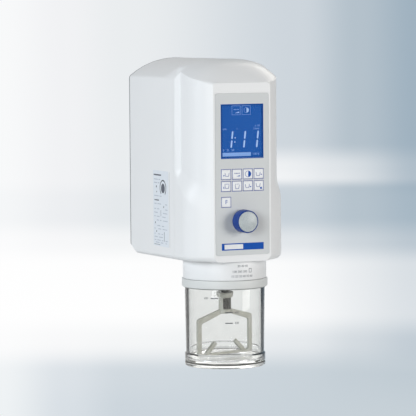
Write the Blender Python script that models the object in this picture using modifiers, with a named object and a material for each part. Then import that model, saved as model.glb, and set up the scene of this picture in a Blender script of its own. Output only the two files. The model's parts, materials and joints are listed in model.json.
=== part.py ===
"""Wall-hung vacuum mixing unit: housing with its keypad, drive, vacuum pump, mixing lid, bowl and paddle.

Metres, +Z up. The unit faces -Y and hangs on a wall at y = 0; the origin is the centre of the wall face.
Depths are measured from the front face back, heights from the housing's underside up.
"""

import math

import bmesh
import bpy
from mathutils import Matrix, Vector

# Housing
HOUSING_WIDTH = 0.152
HOUSING_DEPTH = 0.2435
WALL_FACE_HEIGHT = 0.136
WALL = 0.003
CLEARANCE = 0.0003
EDGE_CHAMFER = 0.001
REAR_LIFT = 0.0105
REAR_LIFT_LENGTH = 0.021
SEAM_DEPTH = 0.070
SEAM_STRAIGHT = 0.0012

# Nose: the narrow upper front with its domed top
FRONT_WIDTH = 0.0886
NOSE_WIDTH = 0.138
NOSE_RUN = 0.057
NOSE_CURVE = 3.3
FOREHEAD_MARGIN = 0.0147
NOSE_EDGE_RISE = 0.0185
DOME_HEIGHT = 0.0335
DOME_CURVE = 2.8
DOME_SECTION = 3.0

# Lower front, which flares out to the full width, and the sweep between it and the nose
FLARE_RUN = 0.040
FLARE_CURVE = 2.1
SWEEP_HEIGHT = 0.086
SWEEP_RISE = 0.027
SWEEP_BLEND = 0.016

# Skirt: the side walls' lower edges, chamfered, which hang under the underside and fall to the rear
SKIRT_FRONT_DROP = 0.0023
SKIRT_REAR_DROP = 0.0080
SKIRT_WIDTH = 0.0135
SKIRT_CHAMFER_WIDTH = 0.0060
SKIRT_CHAMFER_HEIGHT = 0.0068

# Top of the rear housing
ARCH_RADIUS = 0.120
SHOULDER_RADIUS = 0.008
ARCH_FADE = 0.045

# Base plate and back plate
BASE_HALF_WIDTH = 0.058
BASE_FRONT_MARGIN = 0.014
BASE_REAR_MARGIN = 0.027
BASE_FRONT_ROUND = 0.040
BASE_REAR_ROUND = 0.010
BASE_LIP = 0.005
BASE_THICKNESS = 0.003
BACK_PLATE_THICKNESS = 0.003
BACK_PLATE_INSET = 0.0012
KEYHOLE_SPACING = 0.090
KEYHOLE_RISE = 0.075
KEYHOLE_HEAD = 0.0055
KEYHOLE_SLOT = 0.0028
KEYHOLE_LENGTH = 0.012
KEYHOLE_SLOT_ROUND = 0.0025

# Keypad panel, display and keys
PANEL_WIDTH = 0.0832
PANEL_BOTTOM = 0.0076
PANEL_HEIGHT = 0.2297
PANEL_ROUND = 0.003
PANEL_THICKNESS = 0.0009
PANEL_PROUD = 0.0003
DISPLAY_MARGIN = 0.0160
DISPLAY_WIDTH = 0.0652
DISPLAY_HEIGHT = 0.0755
DISPLAY_LEDGE = 0.0016
LCD_FRAME = 0.0035
LCD_RECESS = 0.0012
LCD_THICKNESS = 0.0054
KEY_SIZE = 0.0134
KEY_PITCH = 0.0169
KEY_ROW_DROP = 0.0231
KEY_COLUMNS = 4
KEY_ROWS = 2
KEY_F_DROP = 0.0225
KEY_PROUD = 0.0010
KEY_FLANGE = 0.0009
KEY_FLANGE_THICKNESS = 0.0008
KEY_PLUNGER = 0.0015
KEY_PLUNGER_LENGTH = 0.0006
KEY_TRAVEL = 0.0005
SWITCH_SIZE = 0.006
BOARD_GAP = 0.006
BOARD_THICKNESS = 0.0016
BOARD_POST = 0.0018

# Control knob on its encoder
KNOB_DROP = 0.0272
KNOB_RADIUS = 0.0161
KNOB_LENGTH = 0.0180
KNOB_GAP = 0.0010
KNOB_WALL = 0.0022
KNOB_CAP_RADIUS = 0.0141
KNOB_CAP_THICKNESS = 0.0014
ENCODER_SIZE = 0.012
ENCODER_BUSH_RADIUS = 0.0045
ENCODER_BUSH_LENGTH = 0.0040
ENCODER_SHAFT_RADIUS = 0.003
ENCODER_SHAFT_LENGTH = 0.0125

# Docking flange under the housing, on the axis of the bowl
AXIS_DEPTH = 0.0647
DOCK_RADIUS = 0.0455
DOCK_RIM = 0.0065
DOCK_RIM_THICKNESS = 0.005
SOCKET_RADIUS = 0.032
SOCKET_DEPTH = 0.009
DOCK_SEAL_WIDTH = 0.004
DOCK_SEAL_THICKNESS = 0.0024
PORT_RADIUS = 0.0018
PORT_OFFSET = 0.0235
NIPPLE_RADIUS = 0.003
NIPPLE_LENGTH = 0.007
NIPPLE_ROOT = 0.005
HUB_WALL = 0.003

# Drive: shaft, bearings, gear pair and motor
SHAFT_RADIUS = 0.006
BEARING_RADIUS = 0.014
BEARING_WIDTH = 0.008
BEARING_LIP = 0.005
GEAR_MODULE = 0.002
GEAR_TEETH = 36
PINION_TEETH = 12
GEAR_WIDTH = 0.010
GEAR_GAP = 0.010
TOOTH_ROOT_DEPTH = 1.25
TOOTH_TIP_HEIGHT = 0.9
TOOTH_ROOT_SHARE = 0.36
TOOTH_TIP_SHARE = 0.13
PINION_OVERLAP = 0.002
SHAFT_OVERRUN = 0.006
COUPLING_RADIUS = 0.0105
COUPLING_DROP = 0.010
COUPLING_SOCKET = 0.009
HEX_ACROSS_FLATS = 0.012
BRACKET_THICKNESS = 0.005
BRACKET_HALF_WIDTH = 0.054
BRACKET_OVERHANG = 0.012
BRACKET_POST_RADIUS = 0.005
BRACKET_POST_INSET = 0.007
MOTOR_GAP = 0.001
MOTOR_LENGTH = 0.086
MOTOR_BOSS_RADIUS = 0.011
MOTOR_SHAFT_RADIUS = 0.004
MOTOR_SHAFT_GRIP = 0.012

# Mixing lid
LID_RADIUS = 0.0602
LID_HEIGHT = 0.0292
LID_GAP = 0.0006
LID_TOP = 0.0044
LID_NECK_RADIUS = 0.0528
LID_NECK_LENGTH = 0.010
LID_NECK_WALL = 0.003
LID_HUB_RADIUS = 0.016
POCKET_RADIUS = 0.013
POCKET_GAP = 0.0015
SPIGOT_PLAY = 0.0012
BUSH_WALL = 0.0036
BUSH_LENGTH = 0.015
FILTER_RADIUS = 0.005
FILTER_THICKNESS = 0.0026
LID_SEAL_HEIGHT = 0.003

# Mixing bowl and its collar
COLLAR_RADIUS = 0.062
COLLAR_HEIGHT = 0.0119
COLLAR_LIP = 0.0016
BOWL_HEIGHT = 0.1247
BOWL_RIM_RADIUS = 0.0580
BOWL_TAPER = 0.0015
BOWL_WALL = 0.0034
BOWL_FLOOR = 0.0085
BOWL_FILLET = 0.005
FOOT_RADIUS = 0.0582
FOOT_HEIGHT = 0.0175
FOOT_BAND = 0.0055
FOOT_RECESS = 0.0017

# Mixing paddle on its shaft
PADDLE_SHAFT_RADIUS = 0.005
PADDLE_REST_ANGLE = 6.0
PADDLE_RADIUS = 0.0459
PADDLE_THICKNESS = 0.005
PADDLE_LEG = 0.0065
PADDLE_ARM = 0.0068
PADDLE_ARM_DROP = 0.012
PADDLE_BAR = 0.0035
PADDLE_CORNER = 0.0039
PADDLE_ARM_ROOT = 0.0046
PADDLE_FLOOR_GAP = 0.003
PADDLE_HUB_RADIUS = 0.0127
PADDLE_HUB_HEIGHT = 0.0073
PADDLE_HUB_DROP = 0.0160
PADDLE_STEM_RADIUS = 0.0092
PADDLE_STEM_LENGTH = 0.0228
PADDLE_BLOCK = 0.0125
PADDLE_BLOCK_HEIGHT = 0.0158
PADDLE_BLOCK_DROP = 0.0008
FIN_ROOT_RADIUS = 0.032
FIN_TIP_RADIUS = 0.016
FIN_RISE = 0.017
FIN_THICKNESS = 0.004
FIN_WIDTH = 0.012

# Vacuum pump, valve and hoses
PUMP_DEPTH = 0.185
PUMP_SHELF_HEIGHT = 0.114
PUMP_SHELF_THICKNESS = 0.003
PUMP_BRACKET_WIDTH = 0.050
PUMP_BRACKET_HEIGHT = 0.036
PUMP_MOTOR_RADIUS = 0.017
PUMP_MOTOR_LENGTH = 0.058
PUMP_HEAD_WIDTH = 0.044
PUMP_HEAD_LENGTH = 0.040
PUMP_HEAD_HEIGHT = 0.030
VALVE_SIZE = 0.022
VALVE_HEIGHT = 0.028
VALVE_OFFSET = 0.039
VALVE_GAP = 0.001
HOSE_PASSAGE = 0.0048

# Mains inlet, power board and power switch
INLET_WIDTH = 0.028
INLET_LENGTH = 0.020
INLET_HEIGHT = 0.024
INLET_FLANGE = 0.003
INLET_WALL = 0.0025
INLET_FLANGE_THICKNESS = 0.0015
INLET_FLOOR = 0.006
INLET_PIN = 0.002
INLET_PIN_RECESS = 0.008
INLET_PIN_SPACING = 0.007
INLET_EARTH_OFFSET = 0.004
INLET_OFFSET = 0.030
INLET_REAR_MARGIN = 0.0245
POWER_BOARD_WIDTH = 0.096
POWER_BOARD_HEIGHT = 0.070
POWER_BOARD_BOTTOM = 0.034
POWER_BOARD_STANDOFF = 0.012
TRANSFORMER_WIDTH = 0.040
TRANSFORMER_HEIGHT = 0.0204
TRANSFORMER_DEPTH = 0.030
WINDING_WIDTH = 0.024
WINDING_HEIGHT = 0.034
WINDING_DEPTH = 0.024
SWITCH_DEPTH = 0.195
SWITCH_HEIGHT = 0.046
SWITCH_BODY_WIDTH = 0.013
SWITCH_BODY_HEIGHT = 0.0215
SWITCH_BODY_LENGTH = 0.022
SWITCH_FLANGE = 0.0018
ROCKER_WIDTH = 0.0095
ROCKER_LENGTH = 0.0175
ROCKER_RISE = 0.0042
ROCKER_DIP = 0.0023
ROCKER_HEEL = 0.0025
ROCKER_END = 0.0004
ROCKER_GAP = 0.0037
ROCKER_TILT = 8.0

# Roundness of turned pieces
LARGE_SEGMENTS = 36
SMALL_SEGMENTS = 20
KNOB_SEGMENTS = 24
POST_SEGMENTS = 12
CORNER_STEPS = 4
MERGE_DISTANCE = 0.00001

# Where the housing's sections stand, as shares of the runs that they lie on, and the points in each section
NOSE_STATIONS = (0.08, 0.18, 0.30, 0.44, 0.60, 0.80, 1.0)
STEP_STATIONS = (0.2, 0.45, 0.7, 1.0)
FILLET_ANGLES = (0.0, 45.0, 90.0)
SHOULDER_ANGLES = (0.0, 7.0, 15.0)
SHOULDER_SHARES = (0.0, 0.5, 1.0)
ARCH_STEPS = 6
SWEEP_ROWS = (-0.6, -0.3, -0.1, 0.1, 0.3, 0.6)

# Places worked out from the sizes above
FRONT_Y = -HOUSING_DEPTH
UNDERSIDE_Z = -WALL_FACE_HEIGHT
FOREHEAD_HEIGHT = PANEL_BOTTOM + PANEL_HEIGHT + FOREHEAD_MARGIN
HOUSING_HEIGHT = FOREHEAD_HEIGHT + DOME_HEIGHT
DISPLAY_BOTTOM = PANEL_BOTTOM + PANEL_HEIGHT - DISPLAY_MARGIN - DISPLAY_HEIGHT
KEY_ROW_HEIGHT = DISPLAY_BOTTOM - KEY_ROW_DROP
KEY_F_HEIGHT = KEY_ROW_HEIGHT - (KEY_ROWS - 1) * KEY_PITCH - KEY_F_DROP
KNOB_HEIGHT = KEY_F_HEIGHT - KNOB_DROP
BASE_TOP = WALL + CLEARANCE + BASE_THICKNESS
DOCK_TOP = BASE_TOP + CLEARANCE + DOCK_RIM_THICKNESS
HUB_TOP = DOCK_TOP + BEARING_LIP + BEARING_WIDTH + CLEARANCE
GEAR_HEIGHT = HUB_TOP + GEAR_GAP
BRACKET_HEIGHT = GEAR_HEIGHT + GEAR_WIDTH + GEAR_GAP
BRACKET_TOP = BRACKET_HEIGHT + BRACKET_THICKNESS
HUB_RADIUS = BEARING_RADIUS + CLEARANCE + HUB_WALL
GEAR_CENTRES = GEAR_MODULE * (GEAR_TEETH + PINION_TEETH) / 2
MOTOR_DEPTH = AXIS_DEPTH + GEAR_CENTRES
MOTOR_RADIUS = GEAR_CENTRES - HUB_RADIUS - MOTOR_GAP
VALVE_DEPTH = AXIS_DEPTH + DOCK_RADIUS + DOCK_RIM + VALVE_GAP + VALVE_SIZE / 2
LID_BOTTOM = -LID_GAP - LID_HEIGHT
COLLAR_TOP = LID_BOTTOM - CLEARANCE
RIM_HEIGHT = COLLAR_TOP - COLLAR_LIP - CLEARANCE
BOWL_BOTTOM = RIM_HEIGHT - BOWL_HEIGHT
FLOOR_HEIGHT = BOWL_BOTTOM + BOWL_FLOOR
BOWL_RIM_INNER = BOWL_RIM_RADIUS - BOWL_WALL
POCKET_FLOOR = -COUPLING_DROP - POCKET_GAP
BUSH_TOP = POCKET_FLOOR - WALL
BUSH_RADIUS = PADDLE_SHAFT_RADIUS + CLEARANCE + BUSH_WALL
HUB_HEIGHT = LID_BOTTOM - LID_NECK_LENGTH - PADDLE_HUB_DROP
PADDLE_BOTTOM = FLOOR_HEIGHT + PADDLE_FLOOR_GAP
BOARD_FRONT = WALL + BOARD_GAP
INLET_DEPTH = HOUSING_DEPTH - BASE_REAR_MARGIN - INLET_REAR_MARGIN
CUT_LENGTH = 6 * WALL

PARTS = "vacuum_mixing_unit"
CUTTERS = "vacuum_mixing_unit_cutters"


# Scene set-up and small helpers


def clear_scene():
    """Remove every object, so that the script starts from nothing."""
    for thing in list(bpy.data.objects):
        bpy.data.objects.remove(thing, do_unlink=True)


def collection(name):
    """Return the collection with this name, made and linked on first use."""
    found = bpy.data.collections.get(name)
    if found is None:
        found = bpy.data.collections.new(name)
        bpy.context.scene.collection.children.link(found)
    return found


def place(x, depth, height):
    """Turn a place across, behind the front face and above the underside into world coordinates."""
    return Vector((x, FRONT_Y + depth, UNDERSIDE_Z + height))


def new_object(name, data, location=(0, 0, 0)):
    """Make an object among the parts."""
    thing = bpy.data.objects.new(name, data)
    thing.location = location
    collection(PARTS).objects.link(thing)
    return thing


def as_cutter(thing):
    """Put an object among the cutters, where it shapes others and isn't a part itself."""
    for home in list(thing.users_collection):
        home.objects.unlink(thing)
    collection(CUTTERS).objects.link(thing)
    thing.hide_render = True
    thing.display_type = "WIRE"
    return thing


def boolean(thing, tool, operation):
    """Cut a tool out of an object, or join it to the object."""
    change = thing.modifiers.new(operation.lower() + "_" + tool.name, "BOOLEAN")
    change.operation = operation
    change.object = as_cutter(tool)
    return thing


def cut(thing, *tools):
    """Cut tools out of an object."""
    for tool in tools:
        boolean(thing, tool, "DIFFERENCE")
    return thing


def join(thing, *tools):
    """Join tools to an object as one body."""
    for tool in tools:
        boolean(thing, tool, "UNION")
    return thing


def finish(thing, colour, roughness, metallic=0.0, smooth_angle=35.0):
    """Give an object its own material and smooth shading on its round faces."""
    surface = bpy.data.materials.new(thing.name + "_material")
    surface.use_nodes = True
    shader = surface.node_tree.nodes["Principled BSDF"]
    shader.inputs["Base Color"].default_value = (*colour, 1.0)
    shader.inputs["Roughness"].default_value = roughness
    shader.inputs["Metallic"].default_value = metallic
    thing.data.materials.append(surface)
    if thing.type == "MESH":
        thing.data.shade_smooth()
        thing.data.set_sharp_from_angle(angle=math.radians(smooth_angle))
    return thing


def block(name, size, centre, bevel=0.0):
    """A box of a given size about a centre, with rounded edges where a bevel is given."""
    shape = bmesh.new()
    bmesh.ops.create_cube(shape, size=1.0)
    bmesh.ops.scale(shape, vec=Vector(size), verts=shape.verts)
    mesh = bpy.data.meshes.new(name)
    shape.to_mesh(mesh)
    shape.free()
    thing = new_object(name, mesh, centre)
    if bevel:
        rounding = thing.modifiers.new("rounded_edges", "BEVEL")
        rounding.width = bevel
        rounding.segments = 2
    return thing


def rod(name, radius, length, centre, axis="Z", segments=SMALL_SEGMENTS):
    """A round bar about a centre, along one of the axes."""
    shape = bmesh.new()
    bmesh.ops.create_cone(
        shape,
        cap_ends=True,
        segments=segments,
        radius1=radius,
        radius2=radius,
        depth=length,
    )
    turns = {"X": Matrix.Rotation(math.pi / 2, 3, "Y"), "Y": Matrix.Rotation(math.pi / 2, 3, "X")}
    if axis in turns:
        bmesh.ops.rotate(shape, matrix=turns[axis], verts=shape.verts)
    mesh = bpy.data.meshes.new(name)
    shape.to_mesh(mesh)
    shape.free()
    return new_object(name, mesh, centre)


def turned(name, profile, location, segments=LARGE_SEGMENTS, closed=True):
    """A turned piece: a profile of (radius, height) points, running down its outer side, round the Z axis."""
    mesh = bpy.data.meshes.new(name)
    points = [(radius, 0.0, height) for radius, height in profile]
    edges = [(i, i + 1) for i in range(len(points) - 1)]
    if closed:
        edges.append((len(points) - 1, 0))
    mesh.from_pydata(points, edges, [])
    thing = new_object(name, mesh, location)
    turn = thing.modifiers.new("turned", "SCREW")
    turn.axis = "Z"
    turn.steps = segments
    turn.render_steps = segments
    turn.use_merge_vertices = True
    turn.merge_threshold = MERGE_DISTANCE
    turn.use_smooth_shade = True
    return thing


def extruded(name, outlines, thickness, matrix):
    """A flat piece: an outside and any holes, closed outlines, given a thickness about their plane."""
    curve = bpy.data.curves.new(name, "CURVE")
    curve.dimensions = "2D"
    curve.fill_mode = "BOTH"
    curve.extrude = thickness / 2
    for outline in outlines:
        spline = curve.splines.new("POLY")
        spline.points.add(len(outline) - 1)
        for point, (across, up) in zip(spline.points, outline):
            point.co = (across, up, 0.0, 1.0)
        spline.use_cyclic_u = True
    guide = new_object(name + "_outline", curve)
    return curve_to_mesh(guide, name, matrix)


def curve_to_mesh(guide, name, matrix):
    """Replace a curve object with a closed mesh of the same shape."""
    bpy.context.view_layer.update()
    solid = guide.evaluated_get(bpy.context.evaluated_depsgraph_get())
    mesh = bpy.data.meshes.new_from_object(solid)
    mesh.name = name
    shape = bmesh.new()
    shape.from_mesh(mesh)
    bmesh.ops.remove_doubles(shape, verts=shape.verts, dist=MERGE_DISTANCE)
    bmesh.ops.recalc_face_normals(shape, faces=shape.faces)
    shape.to_mesh(mesh)
    shape.free()
    bpy.data.objects.remove(guide, do_unlink=True)
    thing = new_object(name, mesh)
    thing.matrix_world = matrix
    return thing


def upright(centre):
    """Stand an XY outline up in the XZ plane at a centre, its front facing -Y."""
    return Matrix.Translation(centre) @ Matrix.Rotation(math.pi / 2, 4, "X")


def rounded_rectangle(width, height, *radii, steps=CORNER_STEPS):
    """Outline of a rectangle about the origin, anticlockwise from its lower right corner's start.

    One radius rounds all corners. Two round the lower corners and the upper corners.
    """
    lower, upper = radii[0], radii[-1]
    corners = (
        (width / 2, -height / 2, lower, -90),
        (width / 2, height / 2, upper, 0),
        (-width / 2, height / 2, upper, 90),
        (-width / 2, -height / 2, lower, 180),
    )
    outline = []
    for x, y, radius, start in corners:
        centre = Vector((x - math.copysign(radius, x), y - math.copysign(radius, y)))
        for step in range(steps + 1):
            angle = math.radians(start + 90 * step / steps)
            outline.append(centre + radius * Vector((math.cos(angle), math.sin(angle))))
    return outline


def circle(radius, centre=(0, 0), segments=SMALL_SEGMENTS):
    """Outline of a circle."""
    turn = 2 * math.pi / segments
    return [
        Vector(centre) + radius * Vector((math.cos(turn * i), math.sin(turn * i)))
        for i in range(segments)
    ]


# Housing shells, lofted through upright sections from the front face back


def ease(value):
    """Blend from 0 to 1 with level ends."""
    value = min(max(value, 0.0), 1.0)
    return value * value * (3 - 2 * value)


def widening(depth, start, end, run, power):
    """Half width that grows from the front face and settles after a run."""
    left = max(0.0, 1 - depth / run)
    return end - (end - start) * left**power


def step_out(depth):
    """How far the nose has stepped out to the rear housing's width, from 0 to 1."""
    return ease((depth - NOSE_RUN) / (SEAM_DEPTH - SEAM_STRAIGHT - NOSE_RUN))


def nose_half_width(depth):
    """Half width above the sweep."""
    nose = widening(depth, FRONT_WIDTH / 2, NOSE_WIDTH / 2, NOSE_RUN, NOSE_CURVE)
    return nose + (HOUSING_WIDTH / 2 - nose) * step_out(depth)


def lower_half_width(depth):
    """Half width under the sweep."""
    return widening(depth, FRONT_WIDTH / 2, HOUSING_WIDTH / 2, FLARE_RUN, FLARE_CURVE)


def sweep_height(depth):
    """Height of the sweep between the flared lower front and the nose."""
    return SWEEP_HEIGHT + SWEEP_RISE * min(depth / SEAM_DEPTH, 1.0)


def half_width(depth, height):
    """Half width of the housing at a depth and a height."""
    above = ease((height - sweep_height(depth)) / SWEEP_BLEND + 0.5)
    lower = lower_half_width(depth)
    return lower + (nose_half_width(depth) - lower) * above


def dome_point(depth, angle):
    """A point on the nose's domed top, from its side edge at 0 degrees to the ridge at 90."""
    share = min(depth / SEAM_DEPTH, 1.0)
    edge = FOREHEAD_HEIGHT + NOSE_EDGE_RISE * share
    ridge = FOREHEAD_HEIGHT + (HOUSING_HEIGHT - FOREHEAD_HEIGHT) * (1 - (1 - share) ** DOME_CURVE)
    nose = widening(depth, FRONT_WIDTH / 2, NOSE_WIDTH / 2, NOSE_RUN, NOSE_CURVE)
    across = math.cos(math.radians(angle))
    return Vector((nose * across, edge + (ridge - edge) * (1 - across**DOME_SECTION)))


def arch_points(inset):
    """Shoulder and arch of the rear housing: points from the side's top to the ridge."""
    half = HOUSING_WIDTH / 2 - inset
    shoulder = SHOULDER_RADIUS - inset
    arch = ARCH_RADIUS - inset
    centre = Vector((half - shoulder, 0))
    arch_centre = Vector((0, HOUSING_HEIGHT - ARCH_RADIUS))
    centre.y = arch_centre.y + math.sqrt((arch - shoulder) ** 2 - centre.x**2)
    meet = math.atan2(centre.y - arch_centre.y, centre.x)
    points = []
    for share in SHOULDER_SHARES:
        points.append(centre + shoulder * Vector((math.cos(meet * share), math.sin(meet * share))))
    for step in range(1, ARCH_STEPS + 1):
        angle = meet + (math.pi / 2 - meet) * step / ARCH_STEPS
        points.append(arch_centre + arch * Vector((math.cos(angle), math.sin(angle))))
    return points


def top_points(depth, inset):
    """Top of the half section, which turns from the nose's dome into the rear arch behind the step."""
    arch = arch_points(inset)
    shoulder = step_out(depth)
    crown = ease((depth - NOSE_RUN) / (SEAM_DEPTH + ARCH_FADE - NOSE_RUN))
    angles = list(SHOULDER_ANGLES)
    for step in range(1, ARCH_STEPS + 1):
        angles.append(SHOULDER_ANGLES[-1] + (90 - SHOULDER_ANGLES[-1]) * step / ARCH_STEPS)
    points = []
    for index, angle in enumerate(angles):
        dome = dome_point(depth, angle) - Vector((inset * math.cos(math.radians(angle)), inset))
        blend = shoulder if index < len(SHOULDER_ANGLES) else crown
        points.append(dome.lerp(arch[index], blend))
    return points


def sweep_points(depth, inset):
    """Points down to up across the sweep; behind the seam the side is plain and has none."""
    if depth > SEAM_DEPTH:
        return []
    heights = [sweep_height(depth) + row * SWEEP_BLEND for row in SWEEP_ROWS]
    return [Vector((half_width(depth, height) - inset, height)) for height in heights]


def underside_height(depth):
    """Height of the underside, level up to its rear edge and rising there."""
    return REAR_LIFT * max(0.0, 1 - (HOUSING_DEPTH - depth) / REAR_LIFT_LENGTH)


def skirt_bottom(depth):
    """Height of the skirt's lower edge, under the underside."""
    fall = (SKIRT_REAR_DROP - SKIRT_FRONT_DROP) * depth / HOUSING_DEPTH
    return underside_height(depth) - SKIRT_FRONT_DROP - fall


def skirt_points(depth, inset):
    """Underside and skirt of the half section; in the front wall the skirt runs right across."""
    side = lower_half_width(depth) - inset
    bottom = skirt_bottom(depth)
    level = bottom if depth < WALL else underside_height(depth)
    return [
        Vector((side - SKIRT_WIDTH, level + inset)),
        Vector((side - SKIRT_CHAMFER_WIDTH, bottom + inset)),
        Vector((side, bottom + inset + SKIRT_CHAMFER_HEIGHT)),
    ]


def half_section(depth, inset):
    """Right half of the housing's outline at a depth, from the underside up to the ridge."""
    return skirt_points(depth, inset) + sweep_points(depth, inset) + top_points(depth, inset)


def section_loop(depth, inset):
    """Whole outline at a depth, up the right side and down the left, unchanging close to the seam."""
    if 0 <= SEAM_DEPTH - depth <= SEAM_STRAIGHT + MERGE_DISTANCE:
        depth = SEAM_DEPTH
    if 0 < depth - SEAM_DEPTH <= SEAM_STRAIGHT + MERGE_DISTANCE:
        depth = SEAM_DEPTH + CLEARANCE
    right = half_section(depth, inset)
    left = [Vector((-point.x, point.y)) for point in reversed(right[:-1])]
    return right + left


def lofted_shell(name, stations, front_face):
    """A moulded shell: sections bridged in turn, closed by a front face or left open, given its wall."""
    shape = bmesh.new()
    rings = []
    for depth, inset in stations:
        corners = [shape.verts.new(place(p.x, depth, p.y)) for p in section_loop(depth, inset)]
        rings.append([shape.edges.new((a, b)) for a, b in zip(corners, corners[1:] + corners[:1])])
    if front_face:
        bmesh.ops.contextual_create(shape, geom=rings[0])
    for front, back in zip(rings, rings[1:]):
        bmesh.ops.bridge_loops(shape, edges=front + back)
    bmesh.ops.recalc_face_normals(shape, faces=shape.faces)
    mesh = bpy.data.meshes.new(name)
    shape.to_mesh(mesh)
    shape.free()
    thing = new_object(name, mesh)
    wall = thing.modifiers.new("wall", "SOLIDIFY")
    wall.thickness = WALL
    wall.offset = -1.0
    wall.use_even_offset = True
    return thing


def base_outline(margin):
    """Outline of the opening in the underside, or of what fills it, grown or shrunk by a margin."""
    length = HOUSING_DEPTH - BASE_FRONT_MARGIN - BASE_REAR_MARGIN + 2 * margin
    width = 2 * (BASE_HALF_WIDTH + margin)
    return rounded_rectangle(width, length, BASE_FRONT_ROUND + margin, BASE_REAR_ROUND + margin)


def base_centre(height):
    """Centre of the opening in the underside at a height."""
    middle = (BASE_FRONT_MARGIN + HOUSING_DEPTH - BASE_REAR_MARGIN) / 2
    return Matrix.Translation(place(0, middle, height))


def base_cutter(name):
    """The opening in the underside that the base plate fills."""
    return extruded(name, [base_outline(0.0)], CUT_LENGTH, base_centre(0.0))


def front_opening(name, width, height, x, centre_height):
    """A straight-sided opening through the front wall."""
    return block(name, (width, CUT_LENGTH, height), place(x, 0, centre_height))


def key_places():
    """Name, place across and height of each key."""
    places = []
    for row in range(KEY_ROWS):
        for column in range(KEY_COLUMNS):
            x = (column - (KEY_COLUMNS - 1) / 2) * KEY_PITCH
            name = f"key_{row * KEY_COLUMNS + column + 1}"
            places.append((name, x, KEY_ROW_HEIGHT - row * KEY_PITCH))
    first_column = -(KEY_COLUMNS - 1) / 2 * KEY_PITCH
    places.append(("key_f", first_column, KEY_F_HEIGHT))
    return places


def display_centre():
    """Height of the display's middle."""
    return DISPLAY_BOTTOM + DISPLAY_HEIGHT / 2


def front_housing():
    """Moulded front: nose, domed top and flared lower part, with the openings for the controls."""
    stations = [(0.0, EDGE_CHAMFER), (EDGE_CHAMFER, 0.0)]
    stations += [(NOSE_RUN * share, 0.0) for share in NOSE_STATIONS]
    step = SEAM_DEPTH - SEAM_STRAIGHT - NOSE_RUN
    stations += [(NOSE_RUN + step * share, 0.0) for share in STEP_STATIONS]
    stations.append((SEAM_DEPTH, 0.0))
    thing = lofted_shell("front_housing", stations, front_face=True)
    recess_depth = PANEL_THICKNESS - PANEL_PROUD + CLEARANCE
    recess = extruded(
        "panel_recess",
        [panel_outline(CLEARANCE)],
        2 * recess_depth,
        upright(place(0, 0, panel_middle())),
    )
    window = front_opening(
        "display_opening",
        DISPLAY_WIDTH - 2 * DISPLAY_LEDGE,
        DISPLAY_HEIGHT - 2 * DISPLAY_LEDGE,
        0,
        display_centre(),
    )
    bush_hole = rod(
        "bush_opening",
        ENCODER_BUSH_RADIUS + CLEARANCE,
        CUT_LENGTH,
        place(0, 0, KNOB_HEIGHT),
        axis="Y",
    )
    cut(thing, recess, window, bush_hole, base_cutter("front_base_opening"))
    side = KEY_SIZE + 2 * CLEARANCE
    for name, x, height in key_places():
        cut(thing, front_opening(name + "_opening", side, side, x, height))
    return finish(thing, (0.80, 0.81, 0.82), 0.38)


def rear_housing():
    """Arched rear shell between the front housing's step and the back plate."""
    start = SEAM_DEPTH + CLEARANCE
    end = HOUSING_DEPTH - BACK_PLATE_THICKNESS - CLEARANCE
    depths = [start, SEAM_DEPTH + SEAM_STRAIGHT]
    depths += [SEAM_DEPTH + ARCH_FADE * share for share in STEP_STATIONS]
    depths += [HOUSING_DEPTH - REAR_LIFT_LENGTH, end]
    thing = lofted_shell("rear_housing", [(depth, 0.0) for depth in depths], front_face=False)
    opening = block(
        "switch_opening",
        (CUT_LENGTH, SWITCH_BODY_WIDTH + 2 * CLEARANCE, SWITCH_BODY_HEIGHT + 2 * CLEARANCE),
        place(HOUSING_WIDTH / 2, SWITCH_DEPTH, SWITCH_HEIGHT),
    )
    cut(thing, base_cutter("rear_base_opening"), opening)
    return finish(thing, (0.78, 0.79, 0.80), 0.40)


def base_plate():
    """Plate that closes the underside and carries the drive, on the lips of both shells."""
    top = BASE_TOP - BASE_THICKNESS / 2
    thing = extruded("base_plate", [base_outline(BASE_LIP)], BASE_THICKNESS, base_centre(top))
    overlap = CLEARANCE
    depth = WALL + CLEARANCE + overlap
    plug = extruded("base_plug", [base_outline(-CLEARANCE)], depth, base_centre(depth / 2))
    join(thing, plug)
    hole = rod(
        "dock_hole",
        DOCK_RADIUS + CLEARANCE,
        CUT_LENGTH,
        place(0, AXIS_DEPTH, 0),
        segments=LARGE_SEGMENTS,
    )
    inlet = block(
        "inlet_hole",
        (INLET_WIDTH + 2 * CLEARANCE, INLET_LENGTH + 2 * CLEARANCE, CUT_LENGTH),
        place(INLET_OFFSET, INLET_DEPTH, 0),
    )
    cut(thing, hole, inlet)
    return finish(thing, (0.72, 0.73, 0.74), 0.45)


def back_plate():
    """Steel plate that closes the rear and hangs on wall screws by its keyholes."""
    outline = section_loop(HOUSING_DEPTH, BACK_PLATE_INSET)
    drop = Vector((0, WALL_FACE_HEIGHT))
    centre = Vector((0, -BACK_PLATE_THICKNESS / 2, 0))
    thing = extruded(
        "back_plate",
        [[point - drop for point in outline]],
        BACK_PLATE_THICKNESS,
        upright(centre),
    )
    for side in (-1, 1):
        x = side * KEYHOLE_SPACING / 2
        name = "keyhole_left" if side < 0 else "keyhole_right"
        head = rod(
            name + "_head", KEYHOLE_HEAD, CUT_LENGTH, (x, 0, KEYHOLE_RISE), axis="Y"
        )
        slot = extruded(
            name + "_slot",
            [rounded_rectangle(2 * KEYHOLE_SLOT, KEYHOLE_LENGTH, KEYHOLE_SLOT_ROUND)],
            CUT_LENGTH,
            upright((x, 0, KEYHOLE_RISE + KEYHOLE_LENGTH / 2)),
        )
        cut(thing, head, slot)
    return finish(thing, (0.45, 0.46, 0.47), 0.45, 0.6)


# Keypad panel, display and keys


def panel_middle():
    """Height of the keypad panel's middle."""
    return PANEL_BOTTOM + PANEL_HEIGHT / 2


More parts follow.
